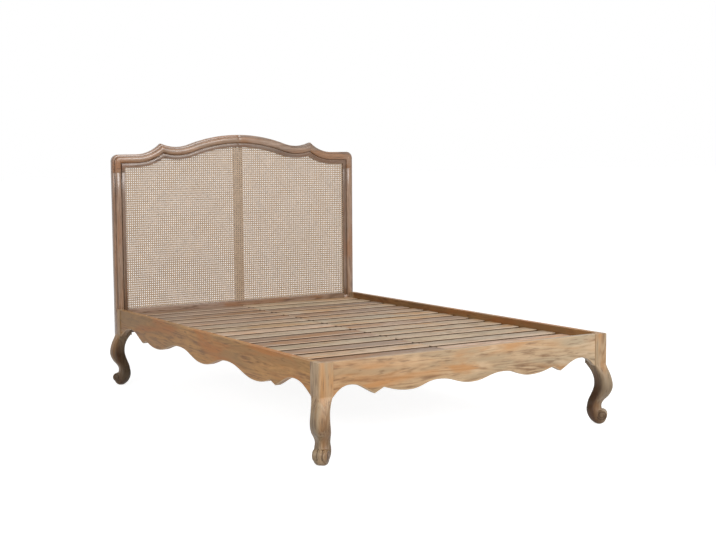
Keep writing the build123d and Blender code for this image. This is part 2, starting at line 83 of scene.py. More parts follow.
BOTTOM_RAIL_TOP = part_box("headboard_bottom_rail")[1].z

BLOCK_SIDE = HALF_WIDTH - STILE_INNER
FOOT_END = RAIL_FRONT_END - BLOCK_SIDE
LEG_OUT = HALF_WIDTH - BLOCK_SIDE / 2
FRONT_LEG_Y = FOOT_END + BLOCK_SIDE / 2
HEAD_LEG_Y = HEAD_END - BLOCK_SIDE / 2


# Sizes and colours that a user would change

class CaneBedSizes(bpy.types.PropertyGroup):
    """Sizes of the bed's details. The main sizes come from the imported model."""

    arris: bpy.props.FloatProperty(
        name="Arris", description="How far the timber's sharp edges are eased",
        default=0.9 * MM, min=0, unit="LENGTH", precision=4)
    rail_bevel: bpy.props.FloatProperty(
        name="Rail bevel", description="Bevel along the scalloped edge of a rail",
        default=3 * MM, min=0, unit="LENGTH", precision=4)
    cane_pitch: bpy.props.FloatProperty(
        name="Cane pitch", description="From one hole of the cane to the next",
        default=11.8 * MM, min=4 * MM, unit="LENGTH", precision=4)
    cane_strand: bpy.props.FloatProperty(
        name="Cane strand", description="Width of one strand of cane",
        default=3.1 * MM, min=0.5 * MM, unit="LENGTH", precision=4)
    cane_thickness: bpy.props.FloatProperty(
        name="Cane thickness", description="Thickness of one strand of cane",
        default=0.8 * MM, min=0.2 * MM, unit="LENGTH", precision=4)
    cane_lift: bpy.props.FloatProperty(
        name="Cane lift", description="How far a strand rises over the ones that it crosses",
        default=0.5 * MM, min=0, unit="LENGTH", precision=4)
    slat_round: bpy.props.FloatProperty(
        name="Slat rounding", description="Radius of the slats' long top edges",
        default=2.2 * MM, min=0, unit="LENGTH", precision=4)
    scroll_groove: bpy.props.FloatProperty(
        name="Scroll groove", description="Depth of the spiral carved in the scroll feet",
        default=1.8 * MM, min=0, unit="LENGTH", precision=4)


class CaneBedFinishes(bpy.types.PropertyGroup):
    """Colours of the timber, the cane, the steel and the stage."""

    frame_wood: bpy.props.FloatVectorProperty(
        name="Frame wood", description="Middle tone of the rails and legs",
        subtype="COLOR", size=3, min=0, max=1, default=(0.47, 0.335, 0.205))
    headboard_wood: bpy.props.FloatVectorProperty(
        name="Headboard wood", description="Middle tone of the headboard's moulded frame",
        subtype="COLOR", size=3, min=0, max=1, default=(0.32, 0.205, 0.135))
    slat_wood: bpy.props.FloatVectorProperty(
        name="Slat wood", description="Middle tone of the slats",
        subtype="COLOR", size=3, min=0, max=1, default=(0.50, 0.385, 0.285))
    # Kept dark as painted shade for the beads behind the cane and the timbers under the slats
    base_wood: bpy.props.FloatVectorProperty(
        name="Base wood", description="Middle tone of the ledges, the beam and the beads",
        subtype="COLOR", size=3, min=0, max=1, default=(0.20, 0.13, 0.08))
    cane: bpy.props.FloatVectorProperty(
        name="Cane", description="Middle tone of the cane strands",
        subtype="COLOR", size=3, min=0, max=1, default=(0.475, 0.35, 0.245))
    steel: bpy.props.FloatVectorProperty(
        name="Steel", description="Tone of the brackets, screws and bolts",
        subtype="COLOR", size=3, min=0, max=1, default=(0.42, 0.42, 0.41))
    floor: bpy.props.FloatVectorProperty(
        name="Floor", description="Colour of the studio floor",
        subtype="COLOR", size=3, min=0, max=1, default=(0.5, 0.5, 0.5))


def sizes():
    return bpy.context.scene.cane_bed_sizes


def finishes():
    return bpy.context.scene.cane_bed_finishes


# Node trees

def feed(tree, socket, value):
    """Gives an input socket a link or a plain value."""
    if isinstance(value, bpy.types.NodeSocket):
        tree.links.new(value, socket)
    elif value is not None:
        socket.default_value = value


def add_node(tree, kind, inputs=None, **settings):
    """Adds a node with its settings, and feeds its inputs by name or by place."""
    made = tree.nodes.new(kind)
    for name, value in settings.items():
        setattr(made, name, value)
    for key, value in (inputs or {}).items():
        feed(tree, made.inputs[key], value)
    return made


def calc(tree, operation, *values):
    """A math node's result."""
    kind = "ShaderNodeMath"
    return add_node(tree, kind, dict(enumerate(values)), operation=operation).outputs[0]


def vector_calc(tree, operation, *values):
    """A vector math node's result."""
    made = add_node(tree, "ShaderNodeVectorMath", dict(enumerate(values)), operation=operation)
    return made.outputs["Value" if operation in ("LENGTH", "DISTANCE", "DOT_PRODUCT") else "Vector"]


def ramp(tree, value, stops):
    """A colour ramp's result, from places and colours."""
    made = add_node(tree, "ShaderNodeValToRGB", {"Fac": value})
    elements = made.color_ramp.elements
    while len(elements) < len(stops):
        elements.new(0.5)
    for element, (place, colour) in zip(elements, stops):
        element.position = place
        element.color = (*colour, 1) if len(colour) == 3 else colour
    return made.outputs["Color"]


def blend(tree, share, first, second, kind="MIX"):
    """A mix of two colours."""
    made = tree.nodes.new("ShaderNodeMix")
    made.data_type = "RGBA"
    made.blend_type = kind
    feed(tree, made.inputs["Factor"], share)
    for key, value in (("A", first), ("B", second)):
        socket = next(s for s in made.inputs if s.name == key and s.type == "RGBA")
        if not isinstance(value, bpy.types.NodeSocket) and len(value) == 3:
            value = (*value, 1)
        feed(tree, socket, value)
    return next(s for s in made.outputs if s.type == "RGBA")


def grey(value):
    return (value, value, value)


def new_material(name):
    """A material with a cleared tree, its output and its main shader."""
    material = bpy.data.materials.new(name)
    material.use_nodes = True
    tree = material.node_tree
    tree.nodes.clear()
    output = tree.nodes.new("ShaderNodeOutputMaterial")
    shader = tree.nodes.new("ShaderNodeBsdfPrincipled")
    tree.links.new(shader.outputs["BSDF"], output.inputs["Surface"])
    return material, tree, shader


# Timber finish

def attribute(tree, name, output="Fac"):
    """A number or a vector stored on the piece's points."""
    return add_node(tree, "ShaderNodeAttribute", attribute_name=name).outputs[output]


def grain_place(tree):
    """Where a point lies in its board: along the grain, across it and through it, shifted for each piece."""
    tone = attribute(tree, "tone")
    shift = add_node(tree, "ShaderNodeCombineXYZ", {
        "X": calc(tree, "MULTIPLY", tone, 17.3),
        "Y": calc(tree, "MULTIPLY", tone, 5.9),
        "Z": calc(tree, "MULTIPLY", tone, 9.1),
    }).outputs[0]
    return vector_calc(tree, "ADD", attribute(tree, "grain", "Vector"), shift), tone


def stretched(tree, place, along, across):
    """The grain's place, scaled along and across the board."""
    return vector_calc(tree, "MULTIPLY", place, (along, across, across))


def noise(tree, place, scale=1.0, detail=3.0, roughness=0.55, distortion=0.0):
    """A smooth random number from a place."""
    return add_node(tree, "ShaderNodeTexNoise", {
        "Vector": place, "Scale": scale, "Detail": detail, "Roughness": roughness, "Distortion": distortion,
    }, noise_dimensions="3D").outputs["Fac"]


def mask(tree, value, low, high, strength=1.0):
    """Rises from none to a strength between two values."""
    return add_node(tree, "ShaderNodeMapRange", {
        "Value": value, "From Min": low, "From Max": high, "To Min": 0.0, "To Max": strength,
    }, clamp=True).outputs[0]


def tinted(colour, red, green, blue):
    return (min(1, colour[0] * red), min(1, colour[1] * green), min(1, colour[2] * blue))


def timber_figure(tree, place):
    """Growth lines that bend round a slow drift, with finer streaks between them."""
    drift = noise(tree, stretched(tree, place, 1.3, 11), detail=2)
    rings = calc(tree, "SINE", calc(tree, "MULTIPLY", drift, 95))
    rings = calc(tree, "MULTIPLY_ADD", rings, 0.5, 0.5)
    streaks = noise(tree, stretched(tree, place, 4.5, 105), detail=4, roughness=0.62)
    clouds = noise(tree, stretched(tree, place, 2.6, 12), detail=4, roughness=0.6, distortion=0.5)
    mottle = noise(tree, stretched(tree, place, 13, 40), detail=3, roughness=0.6)
    figure = calc(tree, "MULTIPLY_ADD", rings, 0.10, calc(tree, "MULTIPLY", streaks, 0.34))
    figure = calc(tree, "MULTIPLY_ADD", mottle, 0.24, figure)
    return calc(tree, "MULTIPLY_ADD", clouds, 0.32, figure), streaks


def timber_marks(tree, place, colour, dark, knots):
    """Knots with a dark ring round them, short dark flecks and fine pores."""
    cells = add_node(tree, "ShaderNodeTexVoronoi", {
        "Vector": stretched(tree, place, 3.6, 8.5), "Scale": 1.0, "Randomness": 1.0,
    }, feature="F1").outputs["Distance"]
    wobble = noise(tree, place, scale=55, detail=2)
    edge = calc(tree, "MULTIPLY_ADD", wobble, 0.09, cells)
    halo = calc(tree, "SUBTRACT", 1.0, mask(tree, edge, 0.07, 0.24))
    colour = blend(tree, calc(tree, "MULTIPLY", halo, 0.55 * knots), colour, tinted(dark, 1.35, 1.1, 0.9))
    heart = calc(tree, "SUBTRACT", 1.0, mask(tree, edge, 0.055, 0.10))
    colour = blend(tree, calc(tree, "MULTIPLY", heart, knots), colour, tinted(dark, 0.4, 0.35, 0.35))
    flecks = noise(tree, stretched(tree, place, 14, 130), detail=2, roughness=0.5)
    colour = blend(tree, mask(tree, flecks, 0.60, 0.70, 0.7), colour, tinted(dark, 0.8, 0.8, 0.8))
    pores = noise(tree, stretched(tree, place, 30, 800), detail=2, roughness=0.6)
    return blend(tree, mask(tree, pores, 0.55, 0.72, 0.35), colour, dark), pores


def timber(name, tone_colour, roughness, knots=0.6, gloss=0.3, spread=0.25, tints=None):
    """Mango wood under a thin wax: figure, knots and pores, patches, painted shade and painted highlights on
    the eased edges.
    """
    material, tree, shader = new_material(name)
    place, tone = grain_place(tree)
    dark = tinted(tone_colour, 0.52, 0.44, 0.38)
    pale = tinted(tone_colour, 1.22, 1.28, 1.38)
    warm = tinted(tone_colour, 1.02, 0.76, 0.50)
    figure, streaks = timber_figure(tree, place)
    colour = ramp(tree, figure, [(0.39, dark), (0.49, tone_colour), (0.61, pale)])

    # Orange heartwood and greyed sapwood come and go along the board
    heartwood = noise(tree, stretched(tree, place, 2.1, 8), detail=3, distortion=0.8)
    colour = blend(tree, mask(tree, heartwood, 0.49, 0.62, 0.85), colour, warm)
    sapwood = noise(tree, stretched(tree, place, 2.9, 17), detail=2)
    colour = blend(tree, mask(tree, sapwood, 0.48, 0.62, 0.7), colour, tinted(tone_colour, 0.80, 0.90, 0.98))
    colour, pores = timber_marks(tree, place, colour, dark, knots)

    # Each piece has its own level, and some their own tint
    level = calc(tree, "MULTIPLY_ADD", tone, spread, 1 - spread / 2)
    level = add_node(tree, "ShaderNodeCombineColor", {"Red": level, "Green": level, "Blue": level}).outputs[0]
    colour = blend(tree, 1.0, colour, level, kind="MULTIPLY")
    if tints:
        colour = blend(tree, 1.0, colour, ramp(tree, tone, tints), kind="MULTIPLY")
    colour = blend(tree, attribute(tree, "warmth"), colour, blend(
        tree, 1.0, colour, (0.96, 0.67, 0.35), kind="MULTIPLY"))

    # Painted shade darkens the colour where the shade attribute is set, and a painted highlight lightens the
    # eased edges
    painted_shade_amount = calc(tree, "MULTIPLY", attribute(tree, "shade"), calc(
        tree, "MULTIPLY_ADD", heartwood, 0.5, 0.72))
    painted_shade_amount = calc(tree, "MINIMUM", painted_shade_amount, 1.0)
    colour = blend(tree, painted_shade_amount, colour, blend(tree, 1.0, colour, (0.20, 0.155, 0.115), kind="MULTIPLY"))
    edge_highlight_amount = calc(tree, "MULTIPLY", attribute(tree, "worn"), calc(tree, "MULTIPLY_ADD", streaks, 0.5, 0.6))
    colour = blend(tree, edge_highlight_amount, colour, tinted(pale, 1.25, 1.2, 1.1))
    tree.links.new(colour, shader.inputs["Base Color"])

    tree.links.new(calc(tree, "MULTIPLY_ADD", streaks, 0.24, roughness - 0.12), shader.inputs["Roughness"])
    shader.inputs["Specular IOR Level"].default_value = gloss
    relief = calc(tree, "ADD", calc(tree, "MULTIPLY", pores, -0.6), calc(tree, "MULTIPLY", streaks, 0.5))
    bump = add_node(tree, "ShaderNodeBump", {"Strength": 0.3, "Distance": 0.4 * MM, "Height": relief})
    tree.links.new(bump.outputs["Normal"], shader.inputs["Normal"])
    return material


def cane_finish(name, tone_colour):
    """Split cane: a glossy bark side, fine lengthwise fibres, and strands that differ in tone."""
    material, tree, shader = new_material(name)
    place = add_node(tree, "ShaderNodeTexCoord").outputs["Object"]
    tone = add_node(tree, "ShaderNodeAttribute", attribute_name="tone").outputs["Fac"]
    fibres = noise(tree, place, scale=900, detail=3)
    clouds = noise(tree, place, scale=9, detail=3)
    colour = ramp(tree, calc(tree, "ADD", calc(tree, "MULTIPLY", tone, 0.55), calc(
        tree, "MULTIPLY", fibres, 0.45)), [
        (0.15, tuple(0.66 * c for c in tone_colour)),
        (0.50, tone_colour),
        (0.90, tuple(min(1, 1.30 * c) for c in tone_colour)),
    ])
    ageing = ramp(tree, clouds, [(0.40, grey(0)), (0.75, grey(0.45))])
    colour = blend(tree, ageing, colour, tinted(tone_colour, 0.88, 0.78, 0.62))
    tree.links.new(colour, shader.inputs["Base Color"])
    tree.links.new(calc(tree, "MULTIPLY_ADD", fibres, 0.3, 0.30), shader.inputs["Roughness"])
    bump = add_node(tree, "ShaderNodeBump", {"Strength": 0.3, "Distance": 0.1 * MM, "Height": fibres})
    tree.links.new(bump.outputs["Normal"], shader.inputs["Normal"])
    return material


def steel_finish(name, tone_colour):
    """Zinc plated steel: cloudy plating and fine scratches."""
    material, tree, shader = new_material(name)
    place = add_node(tree, "ShaderNodeTexCoord").outputs["Object"]
    clouds = noise(tree, place, scale=60, detail=4)
    scratches = noise(tree, vector_calc(tree, "MULTIPLY", place, (900, 60, 60)), detail=2)
    colour = ramp(tree, clouds, [
        (0.30, tuple(0.72 * c for c in tone_colour)), (0.70, tuple(1.25 * c for c in tone_colour))])
    tree.links.new(colour, shader.inputs["Base Color"])
    shader.inputs["Metallic"].default_value = 1.0
    tree.links.new(calc(tree, "MULTIPLY_ADD", scratches, 0.25, 0.28), shader.inputs["Roughness"])
    bump = add_node(tree, "ShaderNodeBump", {"Strength": 0.2, "Distance": 0.1 * MM, "Height": scratches})
    tree.links.new(bump.outputs["Normal"], shader.inputs["Normal"])
    return material


MATERIALS = {}


def material_for(slot):
    """The finish of a material slot, made on first use."""
    if slot in MATERIALS:
        return MATERIALS[slot]
    look = finishes()
    colour = tuple(getattr(look, slot))
    if slot == "cane":
        made = cane_finish("woven_cane", colour)
    elif slot == "steel":
        made = steel_finish("plated_steel", colour)
    elif slot == "headboard_wood":
        made = timber(slot, colour, roughness=0.27, gloss=0.6, knots=0.4)
    elif slot == "slat_wood":
        made = timber(slot, colour, roughness=0.62, gloss=0.2, knots=0.7, spread=0.45, tints=[
            (0.00, (0.78, 0.72, 0.70)), (0.25, (1.00, 0.88, 0.84)), (0.50, (1.06, 1.04, 1.00)),
            (0.75, (0.92, 0.90, 0.80)), (1.00, (1.08, 0.98, 0.94)),
        ])
    elif slot == "base_wood":
        made = timber(slot, colour, roughness=0.65, gloss=0.2)
    else:
        made = timber(slot, colour, roughness=0.46, gloss=0.35, knots=0.85)
    MATERIALS[slot] = made
    return made


# Making pieces

AXES = {"X": (0, 1, 2), "Y": (1, 0, 2), "Z": (2, 0, 1)}


def piece_tone(name):
    """A steady number from 0 to 1 for a piece, from its name."""
    return random.Random(name).random()


def mark_highlit_edges(mesh, narrow):
    """Marks the points that lie only on long narrow faces, which are the eased edges, for a painted
    highlight.
    """
    work = bmesh.new()
    work.from_mesh(mesh)
    worn = work.verts.layers.float.get("worn") or work.verts.layers.float.new("worn")
    for vert in work.verts:
        thin = []
        for face in vert.link_faces:
            lengths = [edge.calc_length() for edge in face.edges]
            thin.append(min(lengths) < narrow and max(lengths) > 3 * min(lengths))
        if thin and all(thin):
            vert[worn] = 1.0
    work.to_mesh(mesh)
    work.free()


def set_points(mesh, name, value):
    """Stores a number on each point, given as a number or worked out from the point's place and normal."""
    layer = mesh.attributes.get(name) or mesh.attributes.new(name, "FLOAT", "POINT")
    if callable(value):
        values = [value(vertex.co, vertex.normal) for vertex in mesh.vertices]
    else:
        values = [value] * len(mesh.vertices)
    layer.data.foreach_set("value", values)


def set_grain(mesh, along):
    """Stores where each point lies along, across and through the grain."""
    order = AXES[along]
    grain = mesh.attributes.get("grain") or mesh.attributes.new("grain", "FLOAT_VECTOR", "POINT")
    for point, vertex in zip(grain.data, mesh.vertices):
        point.vector = [vertex.co[axis] for axis in order]


def plain_mesh(obj):
    """Turns an object with modifiers into a plain mesh with none."""
    graph = bpy.context.evaluated_depsgraph_get()
    mesh = bpy.data.meshes.new_from_object(obj.evaluated_get(graph), depsgraph=graph)
    mesh.name = obj.name
    obj.modifiers.clear()
    obj.data = mesh
    return obj


def link_object(name, mesh):
    obj = bpy.data.objects.new(name, mesh)
    bpy.context.scene.collection.objects.link(obj)
    return obj


def mesh_from(name, work):
    """A mesh from a bmesh, with doubles merged and faces turned outwards."""
    bmesh.ops.remove_doubles(work, verts=work.verts, dist=0.02 * MM)
    bmesh.ops.dissolve_degenerate(work, edges=work.edges, dist=0.01 * MM)
    bmesh.ops.recalc_face_normals(work, faces=work.faces)
    mesh = bpy.data.meshes.new(name)
    work.to_mesh(mesh)
    work.free()
    return mesh


def ease(obj, width, segments=2, angle=38):
    """Rounds the sharp edges of a piece a little, then makes it plain."""
    bevel = obj.modifiers.new("ease", "BEVEL")
    bevel.width = width
    bevel.segments = segments
    bevel.limit_method = "ANGLE"
    bevel.angle_limit = math.radians(angle)
    bevel.use_clamp_overlap = True
    return plain_mesh(obj)


def finish_piece(obj, slot, nodes, along=None, smooth=34, warmth=0.0, shade=None):
    """Gives a piece its shading, grain and finish, hangs it on the root body and hides the imported parts
    that it stands for.

    Warmth and shade are numbers, or functions of a point's place and normal. Shade given as None keeps
    what the piece already holds.
    """
    mesh = obj.data
    for face in mesh.polygons:
        face.use_smooth = True
    mesh.set_sharp_from_angle(angle=math.radians(smooth))
    if along:
        mark_highlit_edges(mesh, 1.3 * MM)
        set_grain(mesh, along)
        set_points(mesh, "tone", piece_tone(obj.name))
        set_points(mesh, "warmth", warmth)
        if shade is not None or "shade" not in mesh.attributes:
            set_points(mesh, "shade", shade or 0.0)
    mesh.materials.clear()
    mesh.materials.append(material_for(slot))
    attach(obj, "root")
    if nodes:
        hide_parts(*nodes)
    return obj


def add_box(work, low, high):
    """Adds a box between two corners to a bmesh."""
    centre = (Vector(low) + Vector(high)) / 2
    size = Vector(high) - Vector(low)
    place = Matrix.Translation(centre) @ Matrix.Diagonal((*size, 1))
    return bmesh.ops.create_cube(work, size=1, matrix=place)["verts"]


def add_prism(work, outline, low, high, axis):
    """Adds a prism of an outline, given by the two other coordinates, between two places along an axis."""
    def corner(a, b, c):
        return {"X": (c, a, b), "Y": (a, c, b), "Z": (a, b, c)}[axis]

    ends = [[work.verts.new(corner(a, b, c)) for a, b in outline] for c in (low, high)]
    work.faces.new(ends[0])
    work.faces.new(list(reversed(ends[1])))
    for i in range(len(outline)):
        j = (i + 1) % len(outline)
        work.faces.new((ends[0][i], ends[1][i], ends[1][j], ends[0][j]))


def add_rings(work, rings):
    """Joins rings of points, each closed, into a skin with capped ends."""
    rows = [[work.verts.new(point) for point in ring] for ring in rings]
    for near, far in zip(rows, rows[1:]):
        for i in range(len(near)):
            j = (i + 1) % len(near)
            work.faces.new((near[i], near[j], far[j], far[i]))
    work.faces.new(list(reversed(rows[0])))
    work.faces.new(rows[-1])


# Rails

FOOT_SCALLOP = {
    "lobe_drop": 143, "crest": (0.248, 115), "lobe": (0.462, 143), "notch": (0.647, 121),
    "tip": (0.711, 142), "arch": (0.882, 96), "spring_drop": 139,
}
SIDE_SCALLOP = {
    "lobe_drop": 146, "crest": (0.255, 100), "lobe": (0.528, 146), "notch": (0.660, 124),
    "tip": (0.703, 139), "arch": (0.860, 87), "spring_drop": 139,
}

# How far the scallop's curves hold their direction: along the level swells, and up or down at their ends
SWELL_REACH = 0.45
NOTCH_DIP = 6 * MM
TIP_RISE = 22 * MM
SPRING_RISE = 24 * MM


def bezier(a, b, c, d, steps):
    """Points along a cubic curve, without its last one."""
    for step in range(steps):
        t = step / steps
        u = 1 - t
        yield tuple(u**3 * p + 3 * u * u * t * q + 3 * u * t * t * r + t**3 * s
                    for p, q, r, s in zip(a, b, c, d))


def scallop_points(half_length, shape):
    """The lower edge of half a rail, from the middle outwards, below the rail's top."""
    def at(name):
        share, drop = shape[name]
        return (share * half_length, -drop * MM)

    def swell(start, end):
        reach = SWELL_REACH * (end[0] - start[0])
        return bezier(start, (start[0] + reach, start[1]), (end[0] - reach, end[1]), end, 16)

    middle = (0, -shape["lobe_drop"] * MM)
    end = (half_length, -shape["spring_drop"] * MM)
    crest, lobe, notch, tip, arch = [at(name) for name in ("crest", "lobe", "notch", "tip", "arch")]
    points = [*swell(middle, crest), *swell(crest, lobe)]
    run = notch[0] - lobe[0]
    points += bezier(lobe, (lobe[0] + 0.5 * run, lobe[1]), (notch[0] - 0.2 * run, notch[1] - NOTCH_DIP),
                     notch, 14)
    points += [notch]
    run = arch[0] - tip[0]
    points += bezier(tip, (tip[0] + 0.4 * run, tip[1] + TIP_RISE), (arch[0] - 0.4 * run, arch[1]), arch, 16)
    run = end[0] - arch[0]
    points += bezier(arch, (arch[0] + SWELL_REACH * run, arch[1]),
                     (end[0] - 0.28 * run, end[1] + SPRING_RISE), end, 16)
    return points + [end]


def mitred(points, distance):
    """The points moved to their left by a distance, mitred at corners."""
    moved = []
    for i, point in enumerate(points):
        before = Vector(points[max(i - 1, 0)])
        after = Vector(points[min(i + 1, len(points) - 1)])
        here = Vector(point)
        sides = []
        for start, end in ((before, here), (here, after)):
            run = end - start
            if run.length > 0:
                run.normalize()
                sides.append(Vector((-run.y, run.x)))
        normal = sum(sides, Vector((0, 0))).normalized()
        stretch = 1 / max(0.6, normal.dot(sides[0]))
        moved.append(tuple(here + normal * distance * stretch))
    return moved


# Points of a rail's cross-section that lie on its lower bevel, and the flat strip beside it
BEVEL_POINTS = (4, 5)
BEVEL_STRIP = 1.5 * MM


def rail_rings(half_length, shape, thickness, bevel, ease_by):
    """Cross-sections of a scalloped rail: place along it, height below its top, and depth from its face."""
    half = scallop_points(half_length, shape)
    low = [(-x, z) for x, z in reversed(half[1:])] + half
    inset = mitred(low, bevel)
    above = mitred(low, bevel + BEVEL_STRIP)
    soft = mitred(low, ease_by)
    rings = []
    for (x, z), (bx, bz), (ax, az), (sx, sz) in zip(low, inset, above, soft):
        rings.append([
            (x, 0, ease_by), (x, -ease_by * 0.3, ease_by * 0.3), (x, -ease_by, 0),
            (ax, az, 0), (bx, bz, 0), (x, z, bevel), (x, z, bevel + BEVEL_STRIP),
            (x, z, thickness - ease_by), (sx, sz, thickness),
            (x, -ease_by, thickness), (x, -ease_by * 0.3, thickness - ease_by * 0.3),
            (x, 0, thickness - ease_by),
        ])
    return rings


def build_rail(name, place, half_length, shape, thickness):
    """A scalloped rail; place turns along, height and depth into the bed's own coordinates."""
    size = sizes()
    work = bmesh.new()
    rings = rail_rings(half_length, shape, thickness, size.rail_bevel, size.arris)
    add_rings(work, [[place(*point) for point in ring] for ring in rings])
    # Painted highlight along the lower bevel of the rail
    worn = work.verts.layers.float.new("worn")
    for number, vert in enumerate(work.verts):
        vert[worn] = 0.8 if number % len(rings[0]) in BEVEL_POINTS else 0.0
    return link_object(name, mesh_from(name, work))


class CANEBED_OT_rails(bpy.types.Operator):
    """Build the foot rail and the side rails with their scalloped lower edges"""

    bl_idname = "cane_bed.rails"
    bl_label = "Scalloped rails"

    def execute(self, context):
        thickness = RAIL_OUTER - RAIL_INNER
        foot = build_rail("foot_rail_wood", lambda s, h, d: (s, FOOT_FRONT + d, RAIL_TOP + h),
                          STILE_INNER, FOOT_SCALLOP, thickness)
        finish_piece(foot, "frame_wood", ["foot_rail"], along="X",
                     warmth=lambda place, normal: 0.25 - 0.25 * place.x / STILE_INNER)
        middle = (RAIL_FRONT_END + RAIL_BACK_END) / 2
        half = (RAIL_BACK_END - RAIL_FRONT_END) / 2
        for side, word in ((-1, "left"), (1, "right")):
            rail = build_rail(
                f"{word}_side_rail_wood",
                lambda s, h, d: (side * (RAIL_OUTER - d), middle + s, RAIL_TOP + h),
                half, SIDE_SCALLOP, thickness)
            # Painted shade: darker towards the head end and on the rail's inner face
            finish_piece(rail, "frame_wood", [f"{word}_side_rail"], along="Y", warmth=1.0,
                         shade=lambda place, normal: max(0, 0.35 * place.y / HEAD_END) + (
                             0.35 if normal.x * side < -0.6 else 0))
        return {"FINISHED"}


# Legs

# Share of the leg's height, shift outwards, side and corner radius in millimetres, from the floor up
LEG_STATIONS = [
    (0.00, 8, 16, 8), (0.03, 7, 38, 19), (0.08, 4, 56, 27), (0.16, 0, 64, 27), (0.24, -3, 62, 24),
    (0.32, -3, 54, 17), (0.39, 1.5, 58, 18), (0.47, 12, 67, 20), (0.56, 20.5, 71, 22), (0.65, 24, 69, 20),
    (0.76, 21.5, 66, 19), (0.86, 15, 65, 17), (0.94, 6.5, 65, 13), (1.00, 0, 66, 6),
]
LEG_STEPS = 64
LEG_INTO_BLOCK = 12 * MM
LEG_PLAY = 0.6 * MM
LEG_CORNER = 6 * MM
LEG_GRID = 1.7 * MM
LEG_SMOOTHING = 30
SCROLL_OUT = 29 * MM
SCROLL_HEIGHT = 42 * MM
SCROLL_RADIUS = 23 * MM
SCROLL_HALF_WIDTH = 31 * MM
HEEL_OUT = 17 * MM
HEEL_RADIUS = 31 * MM
HEEL_HALF_WIDTH = 29 * MM
EYE_RADIUS = 12.5 * MM
EYE_PROUD = 2 * MM
FLUTE_OUT = 10 * MM
FLUTE_WIDTH = 2 * MM
SPIRAL_WIDTH = 1.5 * MM


def smooth_station(share):
    """A leg station between the listed ones, on a curve through them."""
    for i in range(len(LEG_STATIONS) - 1):
        if share <= LEG_STATIONS[i + 1][0] or i == len(LEG_STATIONS) - 2:
            break
    rows = [LEG_STATIONS[min(max(k, 0), len(LEG_STATIONS) - 1)] for k in (i - 1, i, i + 1, i + 2)]
    run = rows[2][0] - rows[1][0]
    t = (share - rows[1][0]) / run
    values = []
    for column in (1, 2, 3):
        before, low, high, after = [row[column] for row in rows]
        slope_low = (high - before) / (rows[2][0] - rows[0][0])
        slope_high = (after - low) / (rows[3][0] - rows[1][0])
        values.append(
            (2 * t**3 - 3 * t * t + 1) * low + (t**3 - 2 * t * t + t) * run * slope_low
            + (3 * t * t - 2 * t**3) * high + (t**3 - t * t) * run * slope_high)
    return [value * MM for value in values]


def rounded_square(centre, side, radius, corner_steps=7):
    """Points round a square with rounded corners."""
    radius = min(radius, side / 2)
    reach = side / 2 - radius
    points = []
    for quarter, (sx, sy) in enumerate(((1, 1), (-1, 1), (-1, -1), (1, -1))):
        for step in range(corner_steps + 1):
            angle = math.radians(90 * (quarter + step / corner_steps))
            points.append((
                centre[0] + sx * reach + radius * math.cos(angle),
                centre[1] + sy * reach + radius * math.sin(angle),
            ))
    return points


def add_cabriole(work):
    """The curved leg, its outward diagonal along +X +Y, on the leg's own axis."""
    rings = []
    for step in range(LEG_STEPS + 1):
        share = step / LEG_STEPS
        shift, side, radius = smooth_station(share)
        height = share * LEG_HEIGHT
        rings.append([(x, y, height) for x, y in rounded_square((shift, shift), side, radius)])
    # The top reaches into the block, a hair smaller than it
    reach = rounded_square((0, 0), BLOCK_SIDE - 2 * LEG_PLAY, LEG_CORNER)
    rings.append([(x, y, LEG_HEIGHT + LEG_INTO_BLOCK) for x, y in reach])
    add_rings(work, rings)


def add_scroll(work, centre_out, height, radius, half_width, rounding, steps=40):
    """A round roll across the outward diagonal with rounded ends."""
    out = Vector((1, 1, 0)).normalized()
    across = Vector((1, -1, 0)).normalized()
    centre = out * centre_out + Vector((0, 0, height))
    profile = []
    for end in (-1, 1):
        turns = [math.radians(90 * k / 6) for k in range(7)]
        for turn in (turns if end < 0 else reversed(turns)):
            profile.append((
                end * (half_width - rounding + rounding * math.cos(turn)),
                radius - rounding + rounding * math.sin(turn),
            ))
    rings = []
    for place, size in profile:
        rings.append([
            centre + across * place
            + out * size * math.cos(2 * math.pi * k / steps)
            + Vector((0, 0, size * math.sin(2 * math.pi * k / steps)))
            for k in range(steps)
        ])
    add_rings(work, rings)


def carved(point):
    """How deep the scroll is carved at a point, from 0 to 1: a spiral on each end and two flutes."""
    out = (point.x + point.y) / math.sqrt(2) - SCROLL_OUT
    across = (point.x - point.y) / math.sqrt(2)
    up = point.z - SCROLL_HEIGHT
    reach = math.hypot(out, up)
    if reach > SCROLL_RADIUS + 3 * MM:
        return 0.0
    flute = math.exp(-((abs(across) - FLUTE_OUT) / FLUTE_WIDTH) ** 2) if out > 0 else 0.0
    if abs(across) < SCROLL_HALF_WIDTH - 9 * MM:
        return flute
    turn = (math.atan2(up, out) - math.radians(200)) % (2 * math.pi)
    depth = flute
    for lap in range(2):
        angle = turn + 2 * math.pi * lap
        line = SCROLL_RADIUS * (0.93 - 0.50 * angle / (2.6 * math.pi))
        if angle < 2.9 * math.pi:
            depth += math.exp(-((reach - line) / SPIRAL_WIDTH) ** 2)
    return min(depth, 1.0)


def spread_out(mesh, values, rounds=10):
    """Values of the mesh's points, averaged with their neighbours a few times over."""
    for _ in range(rounds):
        totals = list(values)
        counts = [1] * len(values)
        for edge in mesh.edges:
            first, second = edge.vertices
            totals[first] += values[second]
            totals[second] += values[first]
            counts[first] += 1
            counts[second] += 1
        values = [total / count for total, count in zip(totals, counts)]
    return values


